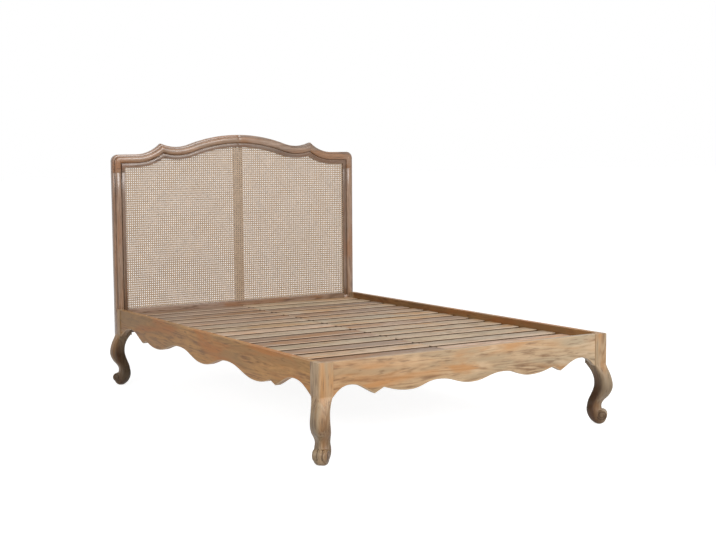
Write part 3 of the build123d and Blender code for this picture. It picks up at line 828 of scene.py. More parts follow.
def cabriole_mesh():
    """The curved part of a leg with its scroll foot, blended and carved, with painted shade stored on its
    points.
    """
    work = bmesh.new()
    add_cabriole(work)
    add_scroll(work, HEEL_OUT, HEEL_RADIUS, HEEL_RADIUS, HEEL_HALF_WIDTH, 19 * MM)
    add_scroll(work, SCROLL_OUT, SCROLL_HEIGHT, SCROLL_RADIUS, SCROLL_HALF_WIDTH, 5 * MM)
    add_scroll(work, SCROLL_OUT, SCROLL_HEIGHT, EYE_RADIUS, SCROLL_HALF_WIDTH + EYE_PROUD, 3 * MM)
    obj = link_object("cabriole", mesh_from("cabriole", work))
    remesh = obj.modifiers.new("blend", "REMESH")
    remesh.mode = "VOXEL"
    remesh.voxel_size = LEG_GRID
    soften = obj.modifiers.new("soften", "SMOOTH")
    soften.factor = 0.5
    soften.iterations = LEG_SMOOTHING
    plain_mesh(obj)
    mesh = obj.data
    groove = sizes().scroll_groove
    normals = [vertex.normal.copy() for vertex in mesh.vertices]
    cuts = [carved(vertex.co) for vertex in mesh.vertices]
    outward = Vector((1, 1, 0)).normalized()
    across = Vector((1, -1, 0)).normalized()
    # Painted shade: darker on faces turned in under the bed and across it, more towards the floor, and in the
    # carved grooves
    shades = []
    for vertex, normal, cut in zip(mesh.vertices, normals, cuts):
        inside = max(0, -normal.dot(outward))
        low = 1 - vertex.co.z / LEG_HEIGHT
        sides = abs(normal.dot(across)) * min(1, 2.5 * low)
        shades.append(0.70 * inside + 0.65 * sides + 0.22 * low)
        vertex.co -= normal * groove * cut
        vertex.co.z = max(vertex.co.z, 0)
    shades = [min(1, shade + 0.85 * cut) for shade, cut in zip(spread_out(mesh, shades), cuts)]
    set_points(mesh, "shade", 0.0)
    mesh.attributes["shade"].data.foreach_set("value", shades)
    bpy.data.objects.remove(obj)
    return mesh


def block_mesh(name, low, high, notch, outer_post):
    """A leg's block with the mattress notch cut out of it, and its outer post rounded."""
    work = bmesh.new()
    add_box(work, low, high)
    if outer_post:
        posts = [edge for edge in work.edges if all(
            abs(vert.co.x - outer_post[0]) < 1e-6 and abs(vert.co.y - outer_post[1]) < 1e-6
            for vert in edge.verts)]
        bmesh.ops.bevel(work, geom=posts, offset=LEG_CORNER, segments=5, profile=0.5, affect="EDGES")
    block = link_object(name, mesh_from(name, work))
    work = bmesh.new()
    add_box(work, *notch)
    cutter = link_object("notch", mesh_from("notch", work))
    cut = block.modifiers.new("notch", "BOOLEAN")
    cut.operation = "DIFFERENCE"
    cut.solver = "EXACT"
    cut.object = cutter
    plain_mesh(block)
    bpy.data.objects.remove(cutter)
    ease(block, 1.3 * MM, segments=3, angle=50)
    mesh = block.data
    bpy.data.objects.remove(block)
    return mesh


class CANEBED_OT_legs(bpy.types.Operator):
    """Build the four cabriole legs with scroll feet under their square blocks"""

    bl_idname = "cane_bed.legs"
    bl_label = "Cabriole legs"

    def execute(self, context):
        curved = cabriole_mesh()
        notch_low = Vector((-RAIL_INNER, FOOT_INNER, SLAT_SEAT))
        notch_high = Vector((RAIL_INNER, HEAD_INNER, RAIL_TOP + 0.01))
        for side, word in ((-1, "left"), (1, "right")):
            for end, which in ((-1, "front"), (1, "head")):
                name = f"{which}_{word}_leg_wood"
                leg_y = FRONT_LEG_Y if end < 0 else HEAD_LEG_Y
                block_y = (FOOT_END, RAIL_FRONT_END) if end < 0 else (RAIL_BACK_END, HEADBOARD_FRONT)
                across = sorted((side * STILE_INNER, side * HALF_WIDTH))
                post = (side * HALF_WIDTH, FOOT_END) if end < 0 else None
                block = block_mesh(
                    name, (across[0], block_y[0], LEG_HEIGHT), (across[1], block_y[1], RAIL_TOP),
                    (notch_low, notch_high), post)
                turn = math.radians({(1, 1): 0, (-1, 1): 90, (-1, -1): 180, (1, -1): 270}[(side, end)])
                part = curved.copy()
                part.transform(Matrix.Translation((side * LEG_OUT, leg_y, 0)) @ Matrix.Rotation(turn, 4, "Z"))
                set_points(block, "shade", 0.0)
                work = bmesh.new()
                work.from_mesh(block)
                work.from_mesh(part)
                mesh = bpy.data.meshes.new(name)
                work.to_mesh(mesh)
                work.free()
                leg = link_object(name, mesh)
                finish_piece(leg, "frame_wood", [f"{which}_{word}_leg"], along="Z", smooth=50,
                             warmth=0.12)
        return {"FINISHED"}


# Headboard outline

CORNER_RADIUS = 36 * MM
CUSP = (458 * MM, 1263 * MM)
VALLEY = (367 * MM, 1245 * MM)
SHOULDER = (598 * MM, 1208 * MM)
FRAME_WIDTH = 66 * MM
REBATE = 12 * MM
SETBACK = 3 * MM


def arc_radius(run, rise):
    """Radius of the arc that leaves level and rises by that much over that run."""
    return (run * run + rise * rise) / (2 * rise)


def circles_meet(c1, r1, c2, r2):
    """The lower point where two circles cross."""
    gap = Vector(c2) - Vector(c1)
    along = (r1 * r1 - r2 * r2 + gap.length_squared) / (2 * gap.length)
    off = math.sqrt(max(r1 * r1 - along * along, 0))
    unit = gap.normalized()
    foot = Vector(c1) + unit * along
    choices = [foot + off * Vector((-unit.y, unit.x)), foot - off * Vector((-unit.y, unit.x))]
    return min(choices, key=lambda point: point.y)


def arc(centre, radius, start, end, steps):
    """Points along an arc between two angles, both ends included."""
    return [
        (centre[0] + radius * math.cos(start + (end - start) * k / steps),
         centre[1] + radius * math.sin(start + (end - start) * k / steps))
        for k in range(steps + 1)
    ]


def heading(centre, point):
    return math.atan2(point[1] - centre[1], point[0] - centre[0])


def crest_line(inset):
    """The crest at an even inset, from the crown to the right-hand side, then down to the joint."""
    valley_radius = arc_radius(CUSP[0] - VALLEY[0], CUSP[1] - VALLEY[1])
    valley_centre = (VALLEY[0], VALLEY[1] + valley_radius)
    over = valley_centre[1] - CROWN_HEIGHT
    hump_radius = (VALLEY[0] ** 2 + over**2 - valley_radius**2) / (2 * (valley_radius - over))
    hump_centre = (0, CROWN_HEIGHT - hump_radius)
    shoulder_radius = arc_radius(SHOULDER[0] - CUSP[0], CUSP[1] - SHOULDER[1])
    shoulder_centre = (SHOULDER[0], SHOULDER[1] + shoulder_radius)
    blend_angle = heading(hump_centre, valley_centre)
    cusp = circles_meet(valley_centre, valley_radius + inset, shoulder_centre, shoulder_radius + inset)
    points = arc(hump_centre, hump_radius - inset, math.pi / 2, blend_angle, 22)
    points += arc(valley_centre, valley_radius + inset, blend_angle - math.pi,
                  heading(valley_centre, cusp), 18)[1:]
    from_cusp = heading(shoulder_centre, cusp)
    if from_cusp > 0:
        from_cusp -= 2 * math.pi
    points += arc(shoulder_centre, shoulder_radius + inset, from_cusp, -math.pi / 2, 18)[1:]
    corner_centre = (HALF_WIDTH - CORNER_RADIUS, SHOULDER[1] - CORNER_RADIUS)
    radius = CORNER_RADIUS - inset
    if radius > 0:
        points += arc(corner_centre, radius, math.pi / 2, 0, 10)
    else:
        points += [(HALF_WIDTH - inset, SHOULDER[1] - inset)] * 11
    return points + [(HALF_WIDTH - inset, JOINT_HEIGHT)]


def moulding_profile():
    """Inset and depth of the frame's moulding, round from its back outer edge over the front."""
    thickness = HEAD_END - HEADBOARD_FRONT
    base = 28 * MM
    outer_round = 5 * MM
    profile = [(0, 0)]
    for k in range(6):
        turn = math.radians(180 - 90 * k / 5)
        profile.append((outer_round * (1 + math.cos(turn)), base - outer_round * (1 - math.sin(turn))))
    steps = 16
    low, high = 10 * MM, 44 * MM
    for k in range(steps + 1):
        turn = math.pi * (1 - k / steps)
        width = math.copysign(abs(math.cos(turn)) ** 0.8, math.cos(turn))
        profile.append(((low + high) / 2 + (high - low) / 2 * width,
                        base + (thickness - base) * math.sin(turn) ** 0.8))
    lip = 48 * MM
    profile += [
        (lip, base),
        (lip, thickness - SETBACK - 1 * MM),
        (lip + 1 * MM, thickness - SETBACK),
        (FRAME_WIDTH - 1 * MM, thickness - SETBACK),
        (FRAME_WIDTH, thickness - SETBACK - 1 * MM),
        (FRAME_WIDTH, HEAD_END - CANE_FRONT),
        (FRAME_WIDTH - REBATE, HEAD_END - CANE_FRONT),
        (FRAME_WIDTH - REBATE, 0),
    ]
    return profile


def moulding_shade(inset, depth):
    """How much painted shade a place on the moulding gets: most in the grooves, some on the inner lip."""
    groove = math.exp(-((inset - 46 * MM) / (2.5 * MM)) ** 2) + math.exp(-((inset - 9 * MM) / (2 * MM)) ** 2)
    lip = 0.45 if inset > 47 * MM else 0.0
    return min(1.0, 0.8 * groove + lip)


def swept(name, side, profile, lines):
    """Sweeps a profile of insets and depths along a line given for each inset."""
    work = bmesh.new()
    columns = [lines(inset) for inset, depth in profile]
    rings = []
    for i in range(len(columns[0])):
        rings.append([
            (side * columns[j][i][0], HEAD_END - depth, columns[j][i][1])
            for j, (inset, depth) in enumerate(profile)
        ])
    add_rings(work, rings)
    # Painted shade from each point's place in the moulding's profile
    painted_shade_layer = work.verts.layers.float.new("shade")
    for number, vert in enumerate(work.verts):
        vert[painted_shade_layer] = moulding_shade(*profile[number % len(profile)])
    return link_object(name, mesh_from(name, work))


def stile_line(foot, top):
    """A straight line down the side, given for each inset."""
    def line(inset):
        return [(HALF_WIDTH - inset, top + (foot - top) * k / 6) for k in range(7)]
    return line


class CANEBED_OT_headboard(bpy.types.Operator):
    """Build the moulded headboard frame: stiles, serpentine top rails and the bottom rail"""

    bl_idname = "cane_bed.headboard"
    bl_label = "Headboard frame"

    def execute(self, context):
        arris = sizes().arris
        profile = moulding_profile()
        for side, word in ((-1, "left"), (1, "right")):
            rail = swept(f"top_rail_{word}_wood", side, profile, crest_line)
            ease(rail, 0.6 * MM)
            finish_piece(rail, "headboard_wood", [f"top_rail_{word}"], along="X",
                         warmth=0.35 if side < 0 else 0)
            name = f"{word}_stile_wood"
            stile = swept(name, side, profile, stile_line(BEAD_FOOT, JOINT_HEIGHT))
            work = bmesh.new()
            work.from_mesh(stile.data)
            across = sorted((side * STILE_INNER, side * HALF_WIDTH))
            add_box(work, (across[0], HEADBOARD_FRONT, LEG_HEIGHT), (across[1], HEAD_END, BEAD_FOOT))
            work.to_mesh(stile.data)
            work.free()
            ease(stile, 0.6 * MM)
            finish_piece(stile, "headboard_wood", [f"{word}_stile"], along="Z", warmth=0.2)
        low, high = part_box("headboard_bottom_rail")
        section = [
            (low.y, low.z), (high.y, low.z), (high.y, BEAD_FOOT), (CANE_FRONT, BEAD_FOOT),
            (CANE_FRONT, high.z), (low.y + SETBACK, high.z), (low.y, high.z - SETBACK),
        ]
        work = bmesh.new()
        add_prism(work, section, -STILE_INNER, STILE_INNER, "X")
        rail = link_object("headboard_bottom_rail_wood", mesh_from("headboard_bottom_rail_wood", work))
        ease(rail, arris)
        # Painted shade, set evenly over the whole rail
        finish_piece(rail, "headboard_wood", ["headboard_bottom_rail"], along="X", shade=0.15)
        return {"FINISHED"}


# Cane beads and mullion

def bead_profile():
    """The bead's section in the rebate behind the cane."""
    front = HEAD_END - CANE_BACK
    back = HEAD_END - BEAD_BACK
    inner = FRAME_WIDTH - 1.5 * MM
    return [(FRAME_WIDTH - REBATE, back), (FRAME_WIDTH - REBATE, front), (FRAME_WIDTH, front),
            (FRAME_WIDTH, back + 3 * MM), (inner, back)]


def shaded_front(amount):
    """Painted shade for a piece behind the cane: dark where it shows through the holes, little on its back.
    """
    return lambda place, normal: 0.25 if normal.y > 0.6 else amount


def window_top(x):
    """Height of the rebate's top edge above a place out from the middle."""
    line = crest_line(FRAME_WIDTH - REBATE)
    for near, far in zip(line, line[1:]):
        if near[0] <= x <= far[0] and far[0] > near[0]:
            return near[1] + (far[1] - near[1]) * (x - near[0]) / (far[0] - near[0])
    return line[-1][1]


class CANEBED_OT_beads(bpy.types.Operator):
    """Build the beads that hold the cane from behind, and the mullion behind its middle"""

    bl_idname = "cane_bed.beads"
    bl_label = "Cane beads and mullion"

    def execute(self, context):
        mullion_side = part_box("centre_mullion")[1].x
        profile = bead_profile()

        def top_line(inset):
            line = crest_line(inset)
            outer = [point for point in line if point[0] > mullion_side + 1 * MM]
            return [(mullion_side, line[0][1])] + outer

        # The beads and the mullion get painted shade where they show through the cane
        for side, word in ((-1, "left"), (1, "right")):
            bead = swept(f"cane_bead_top_{word}_wood", side, profile, top_line)
            finish_piece(bead, "base_wood", [f"cane_bead_top_{word}"], along="X",
                         shade=shaded_front(0.9))
            bead = swept(f"cane_bead_{word}_wood", side, profile, stile_line(BEAD_FOOT, JOINT_HEIGHT))
            ease(bead, 0.5 * MM)
            finish_piece(bead, "base_wood", [f"cane_bead_{word}"], along="Z", shade=shaded_front(0.9))
        low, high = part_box("cane_bead_bottom")
        board("cane_bead_bottom_wood", low, high, "base_wood", ["cane_bead_bottom"], "X")
        steps = 6
        outline = [(-mullion_side, BOTTOM_RAIL_TOP), (mullion_side, BOTTOM_RAIL_TOP)]
        for k in range(steps + 1):
            x = mullion_side * (1 - 2 * k / steps)
            outline.append((x, window_top(abs(x))))
        work = bmesh.new()
        add_prism(work, outline, CANE_BACK, BEAD_BACK, "Y")
        mullion = link_object("centre_mullion_wood", mesh_from("centre_mullion_wood", work))
        ease(mullion, sizes().arris)
        finish_piece(mullion, "headboard_wood", ["centre_mullion"], along="Z", shade=shaded_front(1.0))
        return {"FINISHED"}


# Cane weave

# The slanting strands are this much wider than the others
SLANT_WIDTH = 1.15


def group_tree(name, inputs):
    """A Geometry Nodes tree with named inputs, its input node and a way to finish it."""
    tree = bpy.data.node_groups.new(name, "GeometryNodeTree")
    tree.is_modifier = True
    tree.interface.new_socket("Geometry", in_out="INPUT", socket_type="NodeSocketGeometry")
    for label, kind, default in inputs:
        socket = tree.interface.new_socket(label, in_out="INPUT", socket_type=kind)
        if default is not None:
            socket.default_value = default
    tree.interface.new_socket("Geometry", in_out="OUTPUT", socket_type="NodeSocketGeometry")
    return tree, tree.nodes.new("NodeGroupInput").outputs


def close_tree(tree, geometry, material):
    """Ends a tree in Realize Instances and Set Material."""
    real = add_node(tree, "GeometryNodeRealizeInstances", {"Geometry": geometry})
    painted = add_node(tree, "GeometryNodeSetMaterial", {"Geometry": real.outputs[0], "Material": material})
    tree.links.new(painted.outputs[0], tree.nodes.new("NodeGroupOutput").inputs[0])


def run_tree(obj, tree, values):
    """Gives an object the tree with its inputs set, and turns the result into its plain mesh."""
    modifier = obj.modifiers.new(tree.name, "NODES")
    modifier.node_group = tree
    for item in tree.interface.items_tree:
        if item.item_type == "SOCKET" and item.in_out == "INPUT" and item.name in values:
            modifier[item.identifier] = values[item.name]
    return plain_mesh(obj)


def weave_tree(family):
    """Strands of one family, laid over the sheet given as the geometry and cut off at its edge.

    The strands lie in the XY plane, X across the bed and Y up, with Z as their lift.
    """
    tree, given = group_tree(f"cane {family}", [
        ("Pitch", "NodeSocketFloat", 0.0118),
        ("Strand Width", "NodeSocketFloat", 0.0023),
        ("Strand Thickness", "NodeSocketFloat", 0.0008),
        ("Lift", "NodeSocketFloat", 0.0005),
        ("Pair Gap", "NodeSocketFloat", 0.0027),
        ("Centre", "NodeSocketVector", (0, 0, 0)),
        ("Strands", "NodeSocketInt", 100),
        ("Points", "NodeSocketInt", 100),
        ("Seed", "NodeSocketInt", 1),
        ("Material", "NodeSocketMaterial", None),
    ])
    pitch, lift, points = given["Pitch"], given["Lift"], given["Points"]
    line = add_node(tree, "GeometryNodeMeshLine", {
        "Count": calc(tree, "MULTIPLY", given["Strands"], points), "Offset": (0, 0, 0)}, mode="OFFSET")
    index = add_node(tree, "GeometryNodeInputIndex").outputs[0]

    def strand_of(point):
        return calc(tree, "FLOOR", calc(tree, "DIVIDE", calc(tree, "ADD", point, 0.5), points))

    strand = strand_of(index)
    step = calc(tree, "SUBTRACT", index, calc(tree, "MULTIPLY", strand, points))
    odd_strand = calc(tree, "MODULO", strand, 2)
    odd_step = calc(tree, "MODULO", step, 2)
    half_count = calc(tree, "MULTIPLY", given["Strands"], 0.5)

    if family in ("upright", "across"):
        # Strands in pairs: over the crossing pair at one knot, under it at the next
        pair = calc(tree, "FLOOR", calc(tree, "MULTIPLY", strand, 0.5))
        pair = calc(tree, "SUBTRACT", pair, calc(tree, "FLOOR", calc(tree, "MULTIPLY", half_count, 0.5)))
        side = calc(tree, "SUBTRACT", odd_strand, 0.5)
        place = calc(tree, "ADD", calc(tree, "MULTIPLY", pair, pitch),
                     calc(tree, "MULTIPLY", side, given["Pair Gap"]))
        run = calc(tree, "MULTIPLY", calc(tree, "SUBTRACT", step, calc(
            tree, "FLOOR", calc(tree, "MULTIPLY", points, 0.5))), pitch)
        sign = calc(tree, "SUBTRACT", calc(tree, "MULTIPLY", odd_step, 2), 1)
        side_sign = calc(tree, "MULTIPLY", side, 2)
        over = calc(tree, "MULTIPLY", calc(tree, "MULTIPLY", sign, side_sign), lift)
        if family == "upright":
            parts = {"X": place, "Y": run, "Z": over}
        else:
            parts = {"X": run, "Y": place, "Z": 0.0}
    else:
        # Single strands on the slant, half a pitch off the knots
        run_step = calc(tree, "SUBTRACT", step, calc(tree, "FLOOR", calc(tree, "MULTIPLY", points, 0.5)))
        run = calc(tree, "MULTIPLY", calc(tree, "MULTIPLY", run_step, 0.5), pitch)
        offset = calc(tree, "MULTIPLY", calc(tree, "ADD", calc(
            tree, "SUBTRACT", strand, calc(tree, "FLOOR", half_count)), 0.5), pitch)
        even = calc(tree, "MODULO", calc(tree, "ABSOLUTE", run_step), 2)
        sign = calc(tree, "SUBTRACT", 1, calc(tree, "MULTIPLY", even, 2))
        slope = 1 if family == "rising" else -1
        up = calc(tree, "ADD", calc(tree, "MULTIPLY", run, slope), offset)
        over = calc(tree, "MULTIPLY", calc(tree, "MULTIPLY", sign, slope * 1.5), lift)
        parts = {"X": run, "Y": up, "Z": over}

    spot = add_node(tree, "ShaderNodeCombineXYZ", parts).outputs[0]
    spot = vector_calc(tree, "ADD", spot, given["Centre"])
    tone = add_node(tree, "FunctionNodeRandomValue", {"ID": strand, "Seed": given["Seed"]}, data_type="FLOAT")
    tone_value = next(s for s in tone.outputs if s.type == "VALUE")
    named = add_node(tree, "GeometryNodeStoreNamedAttribute", {
        "Geometry": line.outputs[0], "Name": "tone", "Value": tone_value}, data_type="FLOAT", domain="POINT")
    ends = add_node(tree, "GeometryNodeInputMeshEdgeVertices")
    first = strand_of(ends.outputs["Vertex Index 1"])
    last = strand_of(ends.outputs["Vertex Index 2"])
    breaks = calc(tree, "GREATER_THAN", calc(tree, "ABSOLUTE", calc(tree, "SUBTRACT", first, last)), 0.5)
    placed = add_node(tree, "GeometryNodeSetPosition", {"Geometry": named.outputs[0], "Position": spot})
    cut = add_node(tree, "GeometryNodeDeleteGeometry", {
        "Geometry": placed.outputs[0], "Selection": breaks}, domain="EDGE", mode="EDGE_FACE")

    # Keep what lies over the sheet
    here = add_node(tree, "GeometryNodeInputPosition").outputs[0]
    above = vector_calc(tree, "ADD", here, (0, 0, 0.1))
    ray = add_node(tree, "GeometryNodeRaycast", {
        "Target Geometry": given["Geometry"], "Source Position": above, "Ray Direction": (0, 0, -1),
        "Ray Length": 1.0})
    missed = add_node(tree, "FunctionNodeBooleanMath", {0: ray.outputs["Is Hit"]}, operation="NOT").outputs[0]
    kept = add_node(tree, "GeometryNodeDeleteGeometry", {
        "Geometry": cut.outputs[0], "Selection": missed}, domain="POINT", mode="ALL")

    curves = add_node(tree, "GeometryNodeMeshToCurve", {"Mesh": kept.outputs[0]})
    flat = add_node(tree, "GeometryNodeSetCurveNormal", {"Curve": curves.outputs[0]}, mode="Z_UP")
    half_thickness = calc(tree, "MULTIPLY", given["Strand Thickness"], 0.5)
    section = add_node(tree, "GeometryNodeCurvePrimitiveQuadrilateral", mode="KITE")
    for key, value in (("Width", given["Strand Width"]), ("Bottom Height", half_thickness),
                       ("Top Height", half_thickness)):
        feed(tree, section.inputs[key], value)
    ribbon = add_node(tree, "GeometryNodeCurveToMesh", {
        "Curve": flat.outputs[0], "Profile Curve": section.outputs[0], "Fill Caps": True})
    close_tree(tree, ribbon.outputs[0], given["Material"])
    return tree


def window_sheet(inset):
    """A flat sheet that fills the headboard's window, in the XY plane."""
    line = crest_line(inset)
    low = BOTTOM_RAIL_TOP - 8 * MM
    right = line + [(HALF_WIDTH - inset, low)]
    outline = [(-x, z) for x, z in reversed(right)] + right
    work = bmesh.new()
    work.faces.new([work.verts.new((x, z, 0)) for x, z in outline])
    bmesh.ops.remove_doubles(work, verts=work.verts, dist=0.05 * MM)
    bmesh.ops.triangulate(work, faces=work.faces)
    mesh = bpy.data.meshes.new("window")
    work.to_mesh(mesh)
    work.free()
    return mesh


class CANEBED_OT_cane(bpy.types.Operator):
    """Weave the cane: upright and level pairs of strands, and two families on the slant"""

    bl_idname = "cane_bed.cane"
    bl_label = "Woven cane"

    def execute(self, context):
        size = sizes()
        inset = FRAME_WIDTH - 8 * MM
        width = 2 * HALF_WIDTH
        low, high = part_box("cane_sheet")
        height = high.z - low.z
        cells_across = int(width / size.cane_pitch) + 2
        cells_up = int(height / size.cane_pitch) + 2
        counts = {
            "upright": (2 * cells_across, cells_up),
            "across": (2 * cells_up, cells_across),
            "rising": (cells_across + cells_up, 2 * cells_across),
            "falling": (cells_across + cells_up, 2 * cells_across),
        }
        # Stand the weave up, its lift towards the foot of the bed
        upright = Matrix.Translation((0, (CANE_FRONT + CANE_BACK) / 2 - 0.2 * MM, 0)) @ Matrix.Rotation(
            math.radians(90), 4, "X")
        for number, (family, (strands, points)) in enumerate(counts.items()):
            weave = link_object(f"cane_{family}", window_sheet(inset))
            run_tree(weave, weave_tree(family), {
                "Pitch": size.cane_pitch,
                "Strand Width": size.cane_strand * (SLANT_WIDTH if family in ("rising", "falling") else 1),
                "Strand Thickness": size.cane_thickness,
                "Lift": size.cane_lift,
                "Pair Gap": size.cane_strand + 0.3 * MM,
                "Centre": (0, (low.z + high.z) / 2, 0),
                "Strands": strands,
                "Points": points,
                "Seed": number,
                "Material": material_for("cane"),
            })
            weave.data.transform(upright)
            finish_piece(weave, "cane", ["cane_sheet"] if number == 0 else [], smooth=80)
        return {"FINISHED"}


# Base timbers

def board(name, low, high, slot, nodes, along, width=None):
    """A plain board between two corners with eased edges."""
    work = bmesh.new()
    add_box(work, low, high)
    obj = link_object(name, mesh_from(name, work))
    ease(obj, width or sizes().arris)
    return finish_piece(obj, slot, nodes, along=along)


class CANEBED_OT_base(bpy.types.Operator):
    """Build the slat ledges, the centre beam and the cleats that hold it"""

    bl_idname = "cane_bed.base"
    bl_label = "Ledges, beam and cleats"

    def execute(self, context):
        for name, along in (("left_slat_ledge", "Y"), ("right_slat_ledge", "Y"), ("centre_beam", "Y")):
            low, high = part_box(name)
            board(f"{name}_wood", low, high, "base_wood", [name], along)
        for name in ("foot_beam_cleat", "head_beam_cleat"):
            low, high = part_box(name)
            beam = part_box("centre_beam")
            gap = 0.3 * MM
            section = [
                (low.x, low.z), (high.x, low.z), (high.x, high.z), (beam[1].x + gap, high.z),
                (beam[1].x + gap, beam[0].z), (beam[0].x - gap, beam[0].z), (beam[0].x - gap, high.z),
                (low.x, high.z),
            ]
            work = bmesh.new()
            add_prism(work, section, low.y, high.y, "Y")
            cleat = link_object(f"{name}_wood", mesh_from(name, work))
            ease(cleat, sizes().arris)
            finish_piece(cleat, "base_wood", [name], along="X")
        return {"FINISHED"}


# Slats

SLAT_CORNER = 9 * MM
# Below this height a slat's sides get painted shade
SLAT_SHADE_HEIGHT = 16.4 * MM
SLAT_TURN = 0.0012


def slat_mesh(length, width, thickness, rounding):
    """One slat with rounded long edges and softened end corners, its grain stored on it."""
    work = bmesh.new()
    corner = SLAT_CORNER
    outline = []
    for sx, sy, start in ((1, 1, 0), (-1, 1, 90), (-1, -1, 180), (1, -1, 270)):
        for k in range(5):
            turn = math.radians(start + 90 * k / 4)
            outline.append((sx * (length / 2 - corner) + corner * math.cos(turn),
                            sy * (width / 2 - corner) + corner * math.sin(turn)))
    add_prism(work, outline, 0, thickness, "Z")
    obj = link_object("slat", mesh_from("slat", work))
    rims = obj.modifiers.new("rounding", "BEVEL")
    rims.width = rounding
    rims.segments = 4
    rims.limit_method = "ANGLE"
    rims.angle_limit = math.radians(60)
    plain_mesh(obj)
    mark_highlit_edges(obj.data, 1.3 * MM)
    set_grain(obj.data, "X")
    set_points(obj.data, "warmth", 0.0)
    # Painted shade on the slat's sides, below its rounded top edge
    set_points(obj.data, "shade", lambda place, normal: 1.0 if place.z < SLAT_SHADE_HEIGHT else 0.0)
    return obj


def slat_tree(slat):
    """Slats in two columns, each with its own tone and a slight turn of its own."""
    tree, given = group_tree("slats", [
        ("First", "NodeSocketVector", (0, 0, 0)),
        ("Pitch", "NodeSocketFloat", 0.1),
        ("Count", "NodeSocketInt", 16),
        ("Spread", "NodeSocketFloat", 0.35),
        ("Seed", "NodeSocketInt", 4),
        ("Material", "NodeSocketMaterial", None),
    ])
    columns = []
    for number, side in enumerate((-1, 1)):
        start = vector_calc(tree, "ADD", given["First"], add_node(tree, "ShaderNodeCombineXYZ", {
            "X": calc(tree, "MULTIPLY", given["Spread"], side)}).outputs[0])
        line = add_node(tree, "GeometryNodeMeshLine", {
            "Count": given["Count"], "Start Location": start,
            "Offset": add_node(tree, "ShaderNodeCombineXYZ", {"Y": given["Pitch"]}).outputs[0],
        }, mode="OFFSET")
        seed = calc(tree, "ADD", given["Seed"], number)
        turn = add_node(tree, "FunctionNodeRandomValue", {
            0: (0, 0, -SLAT_TURN), 1: (0, 0, SLAT_TURN), "Seed": seed}, data_type="FLOAT_VECTOR")
        copies = add_node(tree, "GeometryNodeInstanceOnPoints", {
            "Points": line.outputs[0],
            "Instance": add_node(tree, "GeometryNodeObjectInfo", {"Object": slat}).outputs["Geometry"],
            "Rotation": turn.outputs[0],
        })
        index = add_node(tree, "GeometryNodeInputIndex").outputs[0]
        tone = add_node(tree, "FunctionNodeRandomValue", {"ID": index, "Seed": seed}, data_type="FLOAT")
        tone_value = next(s for s in tone.outputs if s.type == "VALUE")
        toned = add_node(tree, "GeometryNodeStoreNamedAttribute", {
            "Geometry": copies.outputs[0], "Name": "tone", "Value": tone_value},
            data_type="FLOAT", domain="INSTANCE")
        columns.append(toned.outputs[0])
    both = tree.nodes.new("GeometryNodeJoinGeometry")
    for column in columns:
        tree.links.new(column, both.inputs[0])
    close_tree(tree, both.outputs[0], given["Material"])
    return tree


class CANEBED_OT_slats(bpy.types.Operator):
    """Lay the slats in two columns on their ledges and the centre beam"""

    bl_idname = "cane_bed.slats"
    bl_label = "Slats"

    def execute(self, context):
        names = sorted(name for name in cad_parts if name.startswith("slat_right_"))
        low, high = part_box(names[0])
        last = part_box(names[-1])[0]
        slat = slat_mesh(high.x - low.x, high.y - low.y, high.z - low.z, sizes().slat_round)
        holder = link_object("slats_wood", bpy.data.meshes.new("slats_wood"))
        run_tree(holder, slat_tree(slat), {
            "First": (0, (low.y + high.y) / 2, low.z),
            "Pitch": (last.y - low.y) / (len(names) - 1),
            "Count": len(names),
            "Spread": (low.x + high.x) / 2,
            "Seed": 4,
            "Material": material_for("slat_wood"),
        })
        bpy.data.objects.remove(slat)
        nodes = [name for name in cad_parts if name.startswith("slat_") and name[-2:].isdigit()]
        for face in holder.data.polygons:
            face.use_smooth = True
        holder.data.set_sharp_from_angle(angle=math.radians(40))
        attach(holder, "root")
        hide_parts(*nodes)
        return {"FINISHED"}


# Hardware

def fastener_mesh(name, length, radius, head_radius, head_height):
    """A hexagon head with a chamfered top over a plain shank, its seat at the origin, head along +Z."""
    work = bmesh.new()
    chamfer = 0.14 * head_radius
    rings = []
    for height, reach, sides in (
        (-length, radius * 0.5, 12), (-length + 3 * radius, radius, 12), (0, radius, 12),
    ):
        rings.append([(reach * math.cos(2 * math.pi * k / sides), reach * math.sin(2 * math.pi * k / sides),
                       height) for k in range(sides)])
    add_rings(work, rings)
    rings = []
    for height, reach in ((0, head_radius), (head_height - chamfer, head_radius),
                          (head_height, head_radius - 1.6 * chamfer)):
        rings.append([(reach * math.cos(math.pi * k / 3), reach * math.sin(math.pi * k / 3), height)
                      for k in range(6)])
    add_rings(work, rings)
    return link_object(name, mesh_from(name, work))


def fastener_tree(name, fastener):
    """Copies of a fastener on the points given, each along its point's own direction."""
    tree, given = group_tree(name, [
        ("Spin", "NodeSocketFloat", 1.0),
        ("Seed", "NodeSocketInt", 1),
        ("Material", "NodeSocketMaterial", None),
    ])
    facing = add_node(tree, "GeometryNodeInputNamedAttribute", {"Name": "facing"}, data_type="FLOAT_VECTOR")
    vector = next(s for s in facing.outputs if s.type == "VECTOR")
    aim = add_node(tree, "FunctionNodeAlignRotationToVector", {"Vector": vector}, axis="Z")
    spin = add_node(tree, "FunctionNodeRandomValue", {"Seed": given["Seed"]}, data_type="FLOAT")
    spin_value = next(s for s in spin.outputs if s.type == "VALUE")
    local = add_node(tree, "FunctionNodeAxisAngleToRotation", {
        "Axis": (0, 0, 1), "Angle": calc(tree, "MULTIPLY", spin_value, given["Spin"])})
    turn = add_node(tree, "FunctionNodeRotateRotation", {
        0: aim.outputs[0], 1: local.outputs[0]}, rotation_space="LOCAL")
    copies = add_node(tree, "GeometryNodeInstanceOnPoints", {
        "Points": given["Geometry"],
        "Instance": add_node(tree, "GeometryNodeObjectInfo", {"Object": fastener}).outputs["Geometry"],
        "Rotation": turn.outputs[0],
    })
    close_tree(tree, copies.outputs[0], given["Material"])
    return tree


